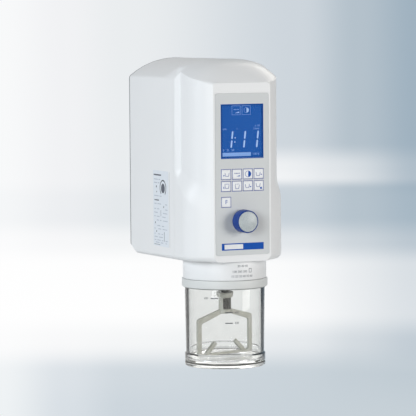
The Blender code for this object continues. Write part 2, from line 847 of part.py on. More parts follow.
def panel_outline(margin=0.0):
    """Outline of the keypad panel about its middle, grown by a margin."""
    return rounded_rectangle(
        PANEL_WIDTH + 2 * margin, PANEL_HEIGHT + 2 * margin, PANEL_ROUND + margin, steps=3
    )


def front_layer():
    """Depth of the middle of the panel and the display window."""
    return PANEL_THICKNESS / 2 - PANEL_PROUD


def rectangle_at(width, height, x, y):
    """Outline of a plain rectangle about a point."""
    return [
        Vector((x + sx * width / 2, y + sy * height / 2))
        for sx, sy in ((1, -1), (1, 1), (-1, 1), (-1, -1))
    ]


def keypad_panel():
    """Grey panel let into the front, with cut-outs for display, keys and encoder."""
    middle = panel_middle()
    side = KEY_SIZE + 2 * CLEARANCE
    holes = [rectangle_at(DISPLAY_WIDTH, DISPLAY_HEIGHT, 0, display_centre() - middle)]
    holes += [rectangle_at(side, side, x, height - middle) for _, x, height in key_places()]
    holes.append(circle(ENCODER_BUSH_RADIUS + CLEARANCE, (0, KNOB_HEIGHT - middle)))
    thing = extruded(
        "keypad_panel",
        [panel_outline()] + holes,
        PANEL_THICKNESS,
        upright(place(0, front_layer(), middle)),
    )
    return finish(thing, (0.58, 0.60, 0.60), 0.50)


def display_window():
    """Clear pane over the display, on the ledge of the front housing's opening."""
    thing = block(
        "display_window",
        (
            DISPLAY_WIDTH - 2 * CLEARANCE,
            PANEL_THICKNESS,
            DISPLAY_HEIGHT - 2 * CLEARANCE,
        ),
        place(0, front_layer(), display_centre()),
    )
    return finish(thing, (0.05, 0.12, 0.40), 0.08)


def lcd_module():
    """Display module: a frame behind the wall and a glass that stands in the opening."""
    width = DISPLAY_WIDTH - 2 * DISPLAY_LEDGE
    height = DISPLAY_HEIGHT - 2 * DISPLAY_LEDGE
    front = WALL + CLEARANCE
    thing = block(
        "lcd_module",
        (width + 2 * LCD_FRAME, LCD_THICKNESS, height + 2 * LCD_FRAME),
        place(0, front + LCD_THICKNESS / 2, display_centre()),
    )
    glass_length = front + LCD_THICKNESS / 2 - LCD_RECESS
    glass = block(
        "lcd_glass",
        (width - 2 * CLEARANCE, glass_length, height - 2 * CLEARANCE),
        place(0, LCD_RECESS + glass_length / 2, display_centre()),
    )
    join(thing, glass)
    return finish(thing, (0.03, 0.10, 0.42), 0.30)


def keys():
    """Square keys, each held behind the wall by its flange, with a plunger for its switch."""
    flange_front = WALL + CLEARANCE
    flange_back = flange_front + KEY_FLANGE_THICKNESS
    for name, x, height in key_places():
        cap_length = KEY_PROUD + flange_front + KEY_FLANGE_THICKNESS / 2
        cap_depth = cap_length / 2 - KEY_PROUD
        thing = block(name, (KEY_SIZE, cap_length, KEY_SIZE), place(x, cap_depth, height))
        side = KEY_SIZE + 2 * KEY_FLANGE
        flange = block(
            name + "_flange",
            (side, KEY_FLANGE_THICKNESS, side),
            place(x, flange_front + KEY_FLANGE_THICKNESS / 2, height),
        )
        plunger_length = KEY_PLUNGER_LENGTH + KEY_FLANGE_THICKNESS / 2
        plunger = block(
            name + "_plunger",
            (2 * KEY_PLUNGER, plunger_length, 2 * KEY_PLUNGER),
            place(x, flange_back + KEY_PLUNGER_LENGTH - plunger_length / 2, height),
        )
        join(thing, flange, plunger)
        finish(thing, (0.75, 0.76, 0.76), 0.45)


def control_board():
    """Circuit board behind the front wall, with a switch for each key and posts to the wall."""
    bottom = KNOB_HEIGHT - ENCODER_SIZE
    top = DISPLAY_BOTTOM + DISPLAY_HEIGHT + LCD_FRAME
    width = PANEL_WIDTH - 2 * WALL
    thing = block(
        "control_board",
        (width, BOARD_THICKNESS, top - bottom),
        place(0, BOARD_FRONT + BOARD_THICKNESS / 2, (top + bottom) / 2),
    )
    key_reach = WALL + CLEARANCE + KEY_FLANGE_THICKNESS + KEY_PLUNGER_LENGTH
    switch_front = key_reach + KEY_TRAVEL + CLEARANCE
    length = BOARD_FRONT + BOARD_THICKNESS / 2 - switch_front
    for name, x, height in key_places():
        switch = block(
            name + "_switch",
            (SWITCH_SIZE, length, SWITCH_SIZE),
            place(x, switch_front + length / 2, height),
        )
        join(thing, switch)
    post_length = BOARD_FRONT + BOARD_THICKNESS / 2 - WALL - CLEARANCE
    for side in (-1, 1):
        for height in (bottom + 2 * BOARD_POST, KEY_F_HEIGHT):
            post = rod(
                f"board_post_{side}_{height}",
                BOARD_POST,
                post_length,
                place(side * (width / 2 - 2 * BOARD_POST), WALL + CLEARANCE + post_length / 2, height),
                axis="Y",
                segments=POST_SEGMENTS,
            )
            join(thing, post)
    return finish(thing, (0.05, 0.25, 0.10), 0.50)


# Control knob on its encoder; the pieces that turn have their origins on the knob's axis


def along_front(name, profile, segments, closed):
    """A turned piece on the knob's axis: its profile's heights run out of the front face."""
    thing = turned(name, profile, place(0, 0, KNOB_HEIGHT), segments, closed)
    thing.rotation_euler = (math.pi / 2, 0, 0)
    return thing


def encoder_body():
    """Encoder on the control board, with a threaded bush through the wall."""
    front = WALL + CLEARANCE
    length = BOARD_GAP - 2 * CLEARANCE
    thing = block(
        "encoder_body",
        (ENCODER_SIZE, length, ENCODER_SIZE),
        place(0, front + length / 2, KNOB_HEIGHT),
    )
    bush_length = front + ENCODER_BUSH_LENGTH - WALL + length / 2
    bush = rod(
        "encoder_bush",
        ENCODER_BUSH_RADIUS,
        bush_length,
        place(0, front + length / 2 - bush_length / 2, KNOB_HEIGHT),
        axis="Y",
    )
    bore = rod(
        "encoder_bore",
        ENCODER_SHAFT_RADIUS + CLEARANCE,
        bush_length,
        place(0, front - bush_length / 2 + CLEARANCE, KNOB_HEIGHT),
        axis="Y",
    )
    cut(join(thing, bush), bore)
    return finish(thing, (0.50, 0.50, 0.52), 0.35, 0.7)


def encoder_shaft():
    """Turning shaft of the encoder, gripped by the knob."""
    end = KNOB_GAP + ENCODER_SHAFT_LENGTH
    profile = [
        (0, end),
        (ENCODER_SHAFT_RADIUS, end),
        (ENCODER_SHAFT_RADIUS, -WALL + CLEARANCE),
        (0, -WALL + CLEARANCE),
    ]
    thing = along_front("encoder_shaft", profile, SMALL_SEGMENTS, closed=False)
    return finish(thing, (0.62, 0.62, 0.64), 0.30, 0.9)


def control_knob():
    """Blue knob: a skirt round a hub on the encoder's shaft, with a seat for its cap."""
    root = PANEL_PROUD + KNOB_GAP
    end = root + KNOB_LENGTH
    seat = end - KNOB_CAP_THICKNESS + CLEARANCE
    bore = ENCODER_SHAFT_RADIUS + CLEARANCE
    bore_end = KNOB_GAP + ENCODER_SHAFT_LENGTH + CLEARANCE
    hub = bore + KNOB_WALL
    hub_root = ENCODER_BUSH_LENGTH + KNOB_GAP
    web = bore_end - KNOB_WALL
    edge = EDGE_CHAMFER
    cap = KNOB_CAP_RADIUS + CLEARANCE
    profile = [
        (0, seat),
        (cap, seat),
        (cap, end),
        (KNOB_RADIUS - edge, end),
        (KNOB_RADIUS, end - edge),
        (KNOB_RADIUS, root),
        (KNOB_RADIUS - KNOB_WALL, root),
        (KNOB_RADIUS - KNOB_WALL, web),
        (hub, web),
        (hub, hub_root),
        (bore, hub_root),
        (bore, bore_end),
        (0, bore_end),
    ]
    thing = along_front("control_knob", profile, KNOB_SEGMENTS, closed=False)
    return finish(thing, (0.015, 0.07, 0.36), 0.35)


def knob_cap():
    """Grey cap let into the knob's end."""
    end = PANEL_PROUD + KNOB_GAP + KNOB_LENGTH
    seat = end - KNOB_CAP_THICKNESS + 2 * CLEARANCE
    profile = [
        (0, end + CLEARANCE),
        (KNOB_CAP_RADIUS - EDGE_CHAMFER, end + CLEARANCE),
        (KNOB_CAP_RADIUS, end - CLEARANCE),
        (KNOB_CAP_RADIUS, seat),
        (0, seat),
    ]
    thing = along_front("knob_cap", profile, KNOB_SEGMENTS, closed=False)
    return finish(thing, (0.62, 0.63, 0.64), 0.40)


# Docking flange and drive, on the axis of the bowl


def on_axis(height=0.0):
    """A place on the axis of the bowl."""
    return place(0, AXIS_DEPTH, height)


def dock_flange():
    """Flange in the base plate: socket for the lid's spigot, vacuum port and seat of the lower bearing."""
    hole = SHAFT_RADIUS + WALL
    seat = BEARING_RADIUS + CLEARANCE
    rim = DOCK_RADIUS + DOCK_RIM
    seat_floor = DOCK_TOP + BEARING_LIP
    rim_bottom = BASE_TOP + CLEARANCE
    profile = [
        (HUB_RADIUS, HUB_TOP),
        (HUB_RADIUS, DOCK_TOP),
        (rim, DOCK_TOP),
        (rim, rim_bottom),
        (DOCK_RADIUS, rim_bottom),
        (DOCK_RADIUS, CLEARANCE),
        (SOCKET_RADIUS, CLEARANCE),
        (SOCKET_RADIUS, SOCKET_DEPTH),
        (hole, SOCKET_DEPTH),
        (hole, seat_floor),
        (seat, seat_floor),
        (seat, HUB_TOP),
    ]
    thing = turned("dock_flange", profile, on_axis())
    nipple_base = (SOCKET_DEPTH + DOCK_TOP) / 2
    nipple_top = DOCK_TOP + NIPPLE_LENGTH
    nipple = rod(
        "dock_nipple",
        NIPPLE_RADIUS,
        nipple_top - nipple_base,
        place(-PORT_OFFSET, AXIS_DEPTH, (nipple_top + nipple_base) / 2),
        segments=POST_SEGMENTS,
    )
    port = rod(
        "dock_port",
        PORT_RADIUS,
        2 * nipple_top,
        place(-PORT_OFFSET, AXIS_DEPTH, nipple_top),
        segments=POST_SEGMENTS,
    )
    cut(join(thing, nipple), port)
    return finish(thing, (0.66, 0.67, 0.68), 0.40, 0.5)


def ring(name, outer, inner, top, bottom, segments=LARGE_SEGMENTS, chamfer=0.0):
    """A turned ring on the axis of the bowl, with chamfered outer edges where one is given."""
    profile = [(outer, top), (outer, bottom), (inner, bottom), (inner, top)]
    if chamfer:
        profile = [
            (outer - chamfer, top),
            (outer, top - chamfer),
            (outer, bottom + chamfer),
            (outer - chamfer, bottom),
            (inner, bottom),
            (inner, top),
        ]
    return turned(name, profile, on_axis(), segments)


def dock_seal():
    """Rubber ring in the socket that the lid's spigot presses on."""
    outer = SOCKET_RADIUS - 2 * CLEARANCE
    top = SOCKET_DEPTH - CLEARANCE
    thing = ring("dock_seal", outer, outer - DOCK_SEAL_WIDTH, top, top - DOCK_SEAL_THICKNESS)
    return finish(thing, (0.05, 0.05, 0.05), 0.70)


def bearings():
    """Two ball bearings, sealed, that carry the drive shaft."""
    inner = SHAFT_RADIUS + CLEARANCE
    floors = {"lower_bearing": DOCK_TOP + BEARING_LIP, "upper_bearing": BRACKET_HEIGHT + BEARING_LIP}
    for name, floor in floors.items():
        bottom = floor + CLEARANCE
        thing = ring(
            name,
            BEARING_RADIUS,
            inner,
            bottom + BEARING_WIDTH,
            bottom,
            SMALL_SEGMENTS,
            chamfer=EDGE_CHAMFER / 2,
        )
        finish(thing, (0.60, 0.60, 0.62), 0.25, 0.9)


def bracket_corners():
    """Places across and in depth of the drive bracket's posts."""
    x = BRACKET_HALF_WIDTH - BRACKET_POST_INSET
    front = AXIS_DEPTH - HUB_RADIUS - BRACKET_OVERHANG - BRACKET_POST_INSET
    back = MOTOR_DEPTH + MOTOR_RADIUS + BRACKET_POST_INSET
    return [(side * x, depth) for side in (-1, 1) for depth in (front, back)]


def drive_bracket():
    """Bracket on four posts over the gears, with the upper bearing's seat and the motor's hole."""
    front, back = bracket_corners()[0][1], bracket_corners()[1][1]
    length = back - front + 2 * BRACKET_POST_INSET
    middle = (front + back) / 2
    thing = extruded(
        "drive_bracket",
        [rounded_rectangle(2 * BRACKET_HALF_WIDTH, length, BRACKET_POST_INSET)],
        BRACKET_THICKNESS,
        Matrix.Translation(place(0, middle, BRACKET_HEIGHT + BRACKET_THICKNESS / 2)),
    )
    post_bottom = BASE_TOP + CLEARANCE
    post_length = BRACKET_HEIGHT + BRACKET_THICKNESS / 2 - post_bottom
    for index, (x, depth) in enumerate(bracket_corners(), 1):
        post = rod(
            f"bracket_post_{index}",
            BRACKET_POST_RADIUS,
            post_length,
            place(x, depth, post_bottom + post_length / 2),
            segments=POST_SEGMENTS,
        )
        join(thing, post)
    seat_floor = BRACKET_HEIGHT + BEARING_LIP
    seat_top = seat_floor + BEARING_WIDTH + CLEARANCE
    hub_bottom = BRACKET_HEIGHT + BRACKET_THICKNESS / 2
    hub = rod(
        "bracket_hub", HUB_RADIUS, seat_top - hub_bottom, on_axis((seat_top + hub_bottom) / 2)
    )
    seat = rod(
        "bracket_seat",
        BEARING_RADIUS + CLEARANCE,
        seat_top,
        on_axis(seat_floor + seat_top / 2),
    )
    hole_length = 4 * (BRACKET_THICKNESS + BEARING_LIP)
    shaft_hole = rod(
        "bracket_shaft_hole", SHAFT_RADIUS + WALL, hole_length, on_axis(BRACKET_HEIGHT)
    )
    motor_hole = rod(
        "motor_hole",
        MOTOR_BOSS_RADIUS + CLEARANCE,
        hole_length,
        place(0, MOTOR_DEPTH, BRACKET_HEIGHT),
    )
    hose_hole = rod(
        "hose_hole",
        HOSE_PASSAGE,
        hole_length,
        place(-VALVE_OFFSET, VALVE_DEPTH, BRACKET_HEIGHT),
        segments=POST_SEGMENTS,
    )
    cut(join(thing, hub), seat, shaft_hole, motor_hole, hose_hole)
    return finish(thing, (0.55, 0.56, 0.58), 0.40, 0.8)


def drive_shaft():
    """Output shaft through both bearings, with a shoulder that carries the gear."""
    top = BRACKET_HEIGHT + BEARING_LIP + BEARING_WIDTH + SHAFT_OVERRUN
    shoulder = SHAFT_RADIUS + WALL
    shoulder_bottom = HUB_TOP + 2 * CLEARANCE
    shoulder_top = GEAR_HEIGHT - CLEARANCE
    profile = [
        (0, top),
        (SHAFT_RADIUS, top),
        (SHAFT_RADIUS, shoulder_top),
        (shoulder, shoulder_top),
        (shoulder, shoulder_bottom),
        (SHAFT_RADIUS, shoulder_bottom),
        (SHAFT_RADIUS, CLEARANCE),
        (0, CLEARANCE),
    ]
    thing = turned("drive_shaft", profile, on_axis(), SMALL_SEGMENTS, closed=False)
    return finish(thing, (0.60, 0.60, 0.62), 0.28, 0.95)


def gear_outline(teeth, turn=0.0):
    """Outline of a spur gear with straight-flanked teeth, thinned for play."""
    pitch_radius = GEAR_MODULE * teeth / 2
    rings = (
        (pitch_radius - TOOTH_ROOT_DEPTH * GEAR_MODULE, TOOTH_ROOT_SHARE),
        (pitch_radius + TOOTH_TIP_HEIGHT * GEAR_MODULE, TOOTH_TIP_SHARE),
    )
    step = 2 * math.pi / teeth
    outline = []
    for tooth in range(teeth):
        for side, order in ((-1, rings), (1, rings[::-1])):
            for radius, half in order:
                angle = (tooth + side * half) * step + turn
                outline.append(radius * Vector((math.cos(angle), math.sin(angle))))
    return outline


def drive_gear():
    """Large gear on the output shaft; a tooth points at the motor."""
    bore = circle(SHAFT_RADIUS + CLEARANCE)
    thing = extruded(
        "drive_gear",
        [gear_outline(GEAR_TEETH, math.pi / 2), bore],
        GEAR_WIDTH,
        Matrix.Translation(on_axis(GEAR_HEIGHT + GEAR_WIDTH / 2)),
    )
    return finish(thing, (0.80, 0.78, 0.70), 0.50)


def motor_pinion():
    """Motor shaft with its pinion; a tooth gap faces the large gear."""
    half_tooth = math.pi / PINION_TEETH
    centre = place(0, MOTOR_DEPTH, GEAR_HEIGHT + GEAR_WIDTH / 2)
    thing = extruded(
        "motor_pinion",
        [gear_outline(PINION_TEETH, -math.pi / 2 + half_tooth)],
        GEAR_WIDTH + 2 * PINION_OVERLAP,
        Matrix.Translation(centre),
    )
    bottom = GEAR_HEIGHT - GEAR_GAP / 2
    top = BRACKET_TOP + MOTOR_SHAFT_GRIP - CLEARANCE
    shaft = rod(
        "motor_shaft",
        MOTOR_SHAFT_RADIUS,
        top - bottom,
        place(0, MOTOR_DEPTH, (top + bottom) / 2),
        segments=POST_SEGMENTS,
    )
    join(thing, shaft)
    return finish(thing, (0.60, 0.60, 0.62), 0.30, 0.95)


def drive_coupling():
    """Coupling on the shaft's lower end, with a hexagon socket for the paddle's shaft."""
    top = SOCKET_DEPTH - WALL
    bore = SHAFT_RADIUS + CLEARANCE
    profile = [
        (COUPLING_RADIUS, top),
        (COUPLING_RADIUS, -COUPLING_DROP + EDGE_CHAMFER),
        (COUPLING_RADIUS - EDGE_CHAMFER, -COUPLING_DROP),
        (0, -COUPLING_DROP),
        (0, 0),
        (bore, 0),
        (bore, top),
    ]
    thing = turned("drive_coupling", profile, on_axis(), SMALL_SEGMENTS)
    socket = hexagon(
        "coupling_socket",
        HEX_ACROSS_FLATS,
        2 * COUPLING_SOCKET,
        on_axis(-COUPLING_DROP),
    )
    cut(thing, socket)
    return finish(thing, (0.58, 0.58, 0.60), 0.30, 0.95)


def hexagon(name, across_flats, length, centre):
    """A hexagonal bar about a centre."""
    return rod(name, across_flats / math.sqrt(3), length, centre, segments=6)


def motor_body():
    """Drive motor on the bracket, its boss in the bracket's hole."""
    bottom = BRACKET_TOP + CLEARANCE
    top = bottom + MOTOR_LENGTH
    boss_bottom = BRACKET_HEIGHT + EDGE_CHAMFER
    bore = MOTOR_SHAFT_RADIUS + CLEARANCE
    bore_top = BRACKET_TOP + MOTOR_SHAFT_GRIP
    crimp = 2 * EDGE_CHAMFER
    profile = [
        (0, top),
        (MOTOR_RADIUS - crimp, top),
        (MOTOR_RADIUS, top - crimp),
        (MOTOR_RADIUS, bottom),
        (MOTOR_BOSS_RADIUS, bottom),
        (MOTOR_BOSS_RADIUS, boss_bottom),
        (bore, boss_bottom),
        (bore, bore_top),
        (0, bore_top),
    ]
    thing = turned("motor_body", profile, place(0, MOTOR_DEPTH, 0), SMALL_SEGMENTS, closed=False)
    return finish(thing, (0.22, 0.23, 0.24), 0.45, 0.6)


# Mixing lid and what it carries


def spigot_radius():
    """Radius of the lid's spigot in the docking socket."""
    return SOCKET_RADIUS - SPIGOT_PLAY


def spigot_top():
    """Height of the spigot's end, under the docking seal."""
    return SOCKET_DEPTH - DOCK_SEAL_THICKNESS - 2 * CLEARANCE


def lid_ceiling():
    """Height of the lid's inner top."""
    return -LID_GAP - LID_TOP


def mixing_lid():
    """White lid: spigot and coupling pocket on top, skirt, neck in the bowl and hub of the bush."""
    top = -LID_GAP
    edge = 2 * EDGE_CHAMFER
    neck_bottom = LID_BOTTOM - LID_NECK_LENGTH
    neck_inner = LID_NECK_RADIUS - LID_NECK_WALL
    hub_bottom = BUSH_TOP - BUSH_LENGTH - CLEARANCE
    seat = BUSH_RADIUS + CLEARANCE
    shaft_hole = HEX_ACROSS_FLATS / math.sqrt(3) + CLEARANCE
    profile = [
        (spigot_radius(), spigot_top()),
        (spigot_radius(), top),
        (LID_RADIUS - edge, top),
        (LID_RADIUS, top - edge),
        (LID_RADIUS, LID_BOTTOM),
        (LID_NECK_RADIUS, LID_BOTTOM),
        (LID_NECK_RADIUS, neck_bottom),
        (neck_inner, neck_bottom),
        (neck_inner, lid_ceiling()),
        (LID_HUB_RADIUS, lid_ceiling()),
        (LID_HUB_RADIUS, hub_bottom),
        (seat, hub_bottom),
        (seat, BUSH_TOP + CLEARANCE),
        (shaft_hole, BUSH_TOP + CLEARANCE),
        (shaft_hole, POCKET_FLOOR),
        (POCKET_RADIUS, POCKET_FLOOR),
        (POCKET_RADIUS, spigot_top()),
    ]
    thing = turned("mixing_lid", profile, on_axis())
    port = rod(
        "lid_port",
        PORT_RADIUS,
        4 * (spigot_top() - lid_ceiling()),
        place(-PORT_OFFSET, AXIS_DEPTH, 0),
        segments=POST_SEGMENTS,
    )
    cut(thing, port)
    return finish(thing, (0.80, 0.81, 0.82), 0.38)


def lid_filter():
    """Filter disc under the lid's vacuum port."""
    top = lid_ceiling() - CLEARANCE
    thing = rod(
        "lid_filter",
        FILTER_RADIUS,
        FILTER_THICKNESS,
        place(-PORT_OFFSET, AXIS_DEPTH, top - FILTER_THICKNESS / 2),
        segments=POST_SEGMENTS,
    )
    return finish(thing, (0.60, 0.50, 0.30), 0.80)


def lid_bush():
    """Bronze bush of the paddle's shaft in the lid's hub."""
    inner = PADDLE_SHAFT_RADIUS + CLEARANCE
    thing = ring("lid_bush", BUSH_RADIUS, inner, BUSH_TOP, BUSH_TOP - BUSH_LENGTH, SMALL_SEGMENTS)
    return finish(thing, (0.55, 0.38, 0.16), 0.40, 0.9)


def lid_seal():
    """Sealing ring between the lid's neck and the bowl."""
    outer = BOWL_RIM_INNER - 2 * CLEARANCE
    inner = LID_NECK_RADIUS + CLEARANCE
    middle = LID_BOTTOM - LID_NECK_LENGTH / 2
    top = middle + LID_SEAL_HEIGHT / 2
    thing = ring("lid_seal", outer, inner, top, middle - LID_SEAL_HEIGHT / 2)
    return finish(thing, (0.60, 0.60, 0.58), 0.70)


# Mixing bowl


def bowl_collar():
    """Grey collar round the bowl's rim, with a lip over it."""
    bottom = COLLAR_TOP - COLLAR_HEIGHT
    inner = BOWL_RIM_RADIUS + CLEARANCE
    lip = BOWL_RIM_INNER
    lip_bottom = COLLAR_TOP - COLLAR_LIP
    edge = EDGE_CHAMFER
    profile = [
        (COLLAR_RADIUS - edge, COLLAR_TOP),
        (COLLAR_RADIUS, COLLAR_TOP - edge),
        (COLLAR_RADIUS, bottom + edge),
        (COLLAR_RADIUS - edge, bottom),
        (inner, bottom),
        (inner, lip_bottom),
        (lip, lip_bottom),
        (lip, COLLAR_TOP),
    ]
    thing = turned("bowl_collar", profile, on_axis())
    return finish(thing, (0.66, 0.67, 0.67), 0.50)


def mixing_bowl():
    """Clear bowl with a thick floor and a foot, drawn in along its lower band."""
    outer = BOWL_RIM_RADIUS - BOWL_TAPER
    inner = outer - BOWL_WALL
    foot_top = BOWL_BOTTOM + FOOT_HEIGHT
    edge = 2 * EDGE_CHAMFER
    profile = [(0, FLOOR_HEIGHT)]
    for angle in FILLET_ANGLES:
        across = 1 - math.sin(math.radians(angle))
        up = 1 - math.cos(math.radians(angle))
        profile.append((inner - BOWL_FILLET * across, FLOOR_HEIGHT + BOWL_FILLET * up))
    profile += [
        (BOWL_RIM_INNER, RIM_HEIGHT),
        (BOWL_RIM_RADIUS, RIM_HEIGHT),
        (outer, foot_top + edge),
        (FOOT_RADIUS, foot_top),
        (FOOT_RADIUS, BOWL_BOTTOM + FOOT_BAND),
        (FOOT_RADIUS - EDGE_CHAMFER, BOWL_BOTTOM + FOOT_BAND - EDGE_CHAMFER),
        (FOOT_RADIUS - edge, BOWL_BOTTOM),
        (FOOT_RADIUS - 3 * edge, BOWL_BOTTOM),
        (FOOT_RADIUS - 4 * edge, BOWL_BOTTOM + FOOT_RECESS),
        (0, BOWL_BOTTOM + FOOT_RECESS),
    ]
    thing = turned("mixing_bowl", profile, on_axis(), closed=False)
    return finish(thing, (0.75, 0.80, 0.82), 0.10)


# Mixing paddle; it and its shaft have their origins on the axis of the bowl


def stem_bottom():
    """Height of the lower end of the paddle's stem."""
    return HUB_HEIGHT - PADDLE_HUB_HEIGHT - PADDLE_STEM_LENGTH


def block_bottom():
    """Height of the lower end of the shaft's block in the paddle's stem."""
    return HUB_HEIGHT - PADDLE_HUB_HEIGHT - PADDLE_BLOCK_DROP - PADDLE_BLOCK_HEIGHT


def paddle_shaft():
    """Steel shaft of the paddle: hexagon head, round shank and a square block in the paddle's stem."""
    hex_top = -COUPLING_DROP + COUPLING_SOCKET - 2 * CLEARANCE
    hex_bottom = POCKET_FLOOR
    bottom = block_bottom()
    top = hex_bottom + WALL
    profile = [
        (0, top),
        (PADDLE_SHAFT_RADIUS, top),
        (PADDLE_SHAFT_RADIUS, bottom + PADDLE_BLOCK_HEIGHT / 2),
        (0, bottom + PADDLE_BLOCK_HEIGHT / 2),
    ]
    thing = turned("paddle_shaft", profile, on_axis(), SMALL_SEGMENTS, closed=False)
    head = hexagon(
        "shaft_head",
        HEX_ACROSS_FLATS - 2 * CLEARANCE,
        hex_top - hex_bottom,
        on_axis((hex_top + hex_bottom) / 2),
    )
    foot = block(
        "shaft_block",
        (PADDLE_BLOCK, PADDLE_BLOCK, PADDLE_BLOCK_HEIGHT),
        on_axis(bottom + PADDLE_BLOCK_HEIGHT / 2),
    )
    foot.rotation_euler.z = math.radians(PADDLE_REST_ANGLE)
    join(thing, head, foot)
    return finish(thing, (0.45, 0.45, 0.46), 0.35, 0.95)


def paddle_frame(name, matrix):
    """Flat frame of the paddle: sloping arms, legs near the bowl's wall and a thin bar over its floor."""
    arm = stem_bottom() + PADDLE_ARM
    shoulder = arm - PADDLE_ARM_DROP
    corner = PADDLE_CORNER
    reach = PADDLE_RADIUS
    right = [
        (reach - corner, PADDLE_BOTTOM),
        (reach, PADDLE_BOTTOM + corner),
        (reach, shoulder - corner),
        (reach - corner, shoulder),
        (PADDLE_ARM_ROOT, arm),
    ]
    leg = reach - PADDLE_LEG
    bar = PADDLE_BOTTOM + PADDLE_BAR
    hole_right = [
        (leg - corner, bar),
        (leg, bar + corner),
        (leg, shoulder - PADDLE_ARM - corner),
        (leg - corner, shoulder - PADDLE_ARM),
        (PADDLE_ARM_ROOT, arm - PADDLE_ARM),
    ]
    outlines = [half + [(-x, z) for x, z in reversed(half)] for half in (right, hole_right)]
    return extruded(name, outlines, PADDLE_THICKNESS, matrix)


def mixing_paddle():
    """Grey paddle: hub and stem with a window onto the shaft's block, frame and two raised fins."""
    turn = Matrix.Rotation(math.radians(PADDLE_REST_ANGLE), 4, "Z")
    upright_frame = Matrix.Translation(on_axis()) @ turn @ Matrix.Rotation(math.pi / 2, 4, "X")
    bore = PADDLE_SHAFT_RADIUS + CLEARANCE
    stem_top = HUB_HEIGHT - PADDLE_HUB_HEIGHT
    edge = EDGE_CHAMFER
    profile = [
        (PADDLE_HUB_RADIUS - edge, HUB_HEIGHT),
        (PADDLE_HUB_RADIUS, HUB_HEIGHT - edge),
        (PADDLE_HUB_RADIUS, stem_top),
        (PADDLE_STEM_RADIUS, stem_top),
        (PADDLE_STEM_RADIUS, stem_bottom()),
        (0, stem_bottom()),
        (0, block_bottom() - CLEARANCE),
        (bore, block_bottom() - CLEARANCE),
        (bore, HUB_HEIGHT),
    ]
    thing = turned("mixing_paddle", profile, on_axis(), SMALL_SEGMENTS)
    frame = paddle_frame("paddle_frame", upright_frame)
    window_height = PADDLE_BLOCK_HEIGHT + 2 * CLEARANCE
    window = block(
        "stem_window",
        (PADDLE_BLOCK + 2 * CLEARANCE, 4 * PADDLE_STEM_RADIUS, window_height),
        on_axis(block_bottom() + PADDLE_BLOCK_HEIGHT / 2),
    )
    window.rotation_euler.z = math.radians(PADDLE_REST_ANGLE)
    cut(join(thing, frame), window)
    run = FIN_ROOT_RADIUS - FIN_TIP_RADIUS
    lean = math.atan2(FIN_RISE, run)
    for side in (-1, 1):
        fin = block(
            "fin_left" if side < 0 else "fin_right",
            (math.hypot(run, FIN_RISE), FIN_WIDTH, FIN_THICKNESS),
            (0, 0, 0),
        )
        middle = Vector(
            (
                side * (FIN_ROOT_RADIUS + FIN_TIP_RADIUS) / 2,
                0,
                PADDLE_BOTTOM + PADDLE_BAR / 2 + FIN_RISE / 2,
            )
        )
        lie = Matrix.Translation(middle) @ Matrix.Rotation(side * lean, 4, "Y")
        fin.matrix_world = Matrix.Translation(on_axis()) @ turn @ lie
        join(thing, fin)
    return finish(thing, (0.42, 0.42, 0.36), 0.55)


# Vacuum pump, vent valve and hoses


def pump_shelf_top():
    """Height of the top of the pump's shelf."""
    return PUMP_SHELF_HEIGHT + PUMP_SHELF_THICKNESS


def pump_bracket():
    """Angle bracket on the back plate, with a shelf for the pump."""
    back = HOUSING_DEPTH - BACK_PLATE_THICKNESS - CLEARANCE
    front = PUMP_DEPTH - PUMP_MOTOR_RADIUS - WALL
    top = PUMP_SHELF_HEIGHT + PUMP_BRACKET_HEIGHT
    thickness = PUMP_SHELF_THICKNESS
    outline = [
        (back, top),
        (back - thickness, top),
        (back - thickness, pump_shelf_top()),
        (front, pump_shelf_top()),
        (front, PUMP_SHELF_HEIGHT),
        (back, PUMP_SHELF_HEIGHT),
    ]
    stand = Matrix(((0, 0, 1, 0), (1, 0, 0, FRONT_Y), (0, 1, 0, UNDERSIDE_Z), (0, 0, 0, 1)))
    thing = extruded("pump_bracket", [outline], PUMP_BRACKET_WIDTH, stand)
    return finish(thing, (0.50, 0.51, 0.53), 0.45, 0.8)


def pump_motor():
    """Motor of the diaphragm pump, standing on the shelf."""
    bottom = pump_shelf_top() + CLEARANCE
    top = bottom + PUMP_MOTOR_LENGTH
    edge = 2 * EDGE_CHAMFER
    profile = [
        (0, top),
        (PUMP_MOTOR_RADIUS, top),
        (PUMP_MOTOR_RADIUS, bottom + edge),
        (PUMP_MOTOR_RADIUS - edge, bottom),
        (0, bottom),
    ]
    thing = turned("pump_motor", profile, place(0, PUMP_DEPTH, 0), SMALL_SEGMENTS, closed=False)
    return finish(thing, (0.30, 0.31, 0.32), 0.40, 0.7)


def pump_head_bottom():
    """Height of the underside of the pump's head."""
    return pump_shelf_top() + PUMP_MOTOR_LENGTH + 2 * CLEARANCE


def pump_head():
    """Diaphragm head on the pump's motor, with its inlet nipple on the left."""
    middle = pump_head_bottom() + PUMP_HEAD_HEIGHT / 2
    thing = block(
        "pump_head",
        (PUMP_HEAD_WIDTH, PUMP_HEAD_LENGTH, PUMP_HEAD_HEIGHT),
        place(0, PUMP_DEPTH, middle),
        bevel=WALL / 2,
    )
    length = NIPPLE_LENGTH + NIPPLE_ROOT
    x = -PUMP_HEAD_WIDTH / 2 - NIPPLE_LENGTH + length / 2
    nipple = rod(
        "pump_nipple",
        NIPPLE_RADIUS,
        length,
        place(x, PUMP_DEPTH, middle),
        axis="X",
        segments=POST_SEGMENTS,
    )
    join(thing, nipple)
    return finish(thing, (0.08, 0.08, 0.09), 0.50)


def valve_place(height):
    """A place on the vent valve's upright middle line."""
    return place(-VALVE_OFFSET, VALVE_DEPTH, height)


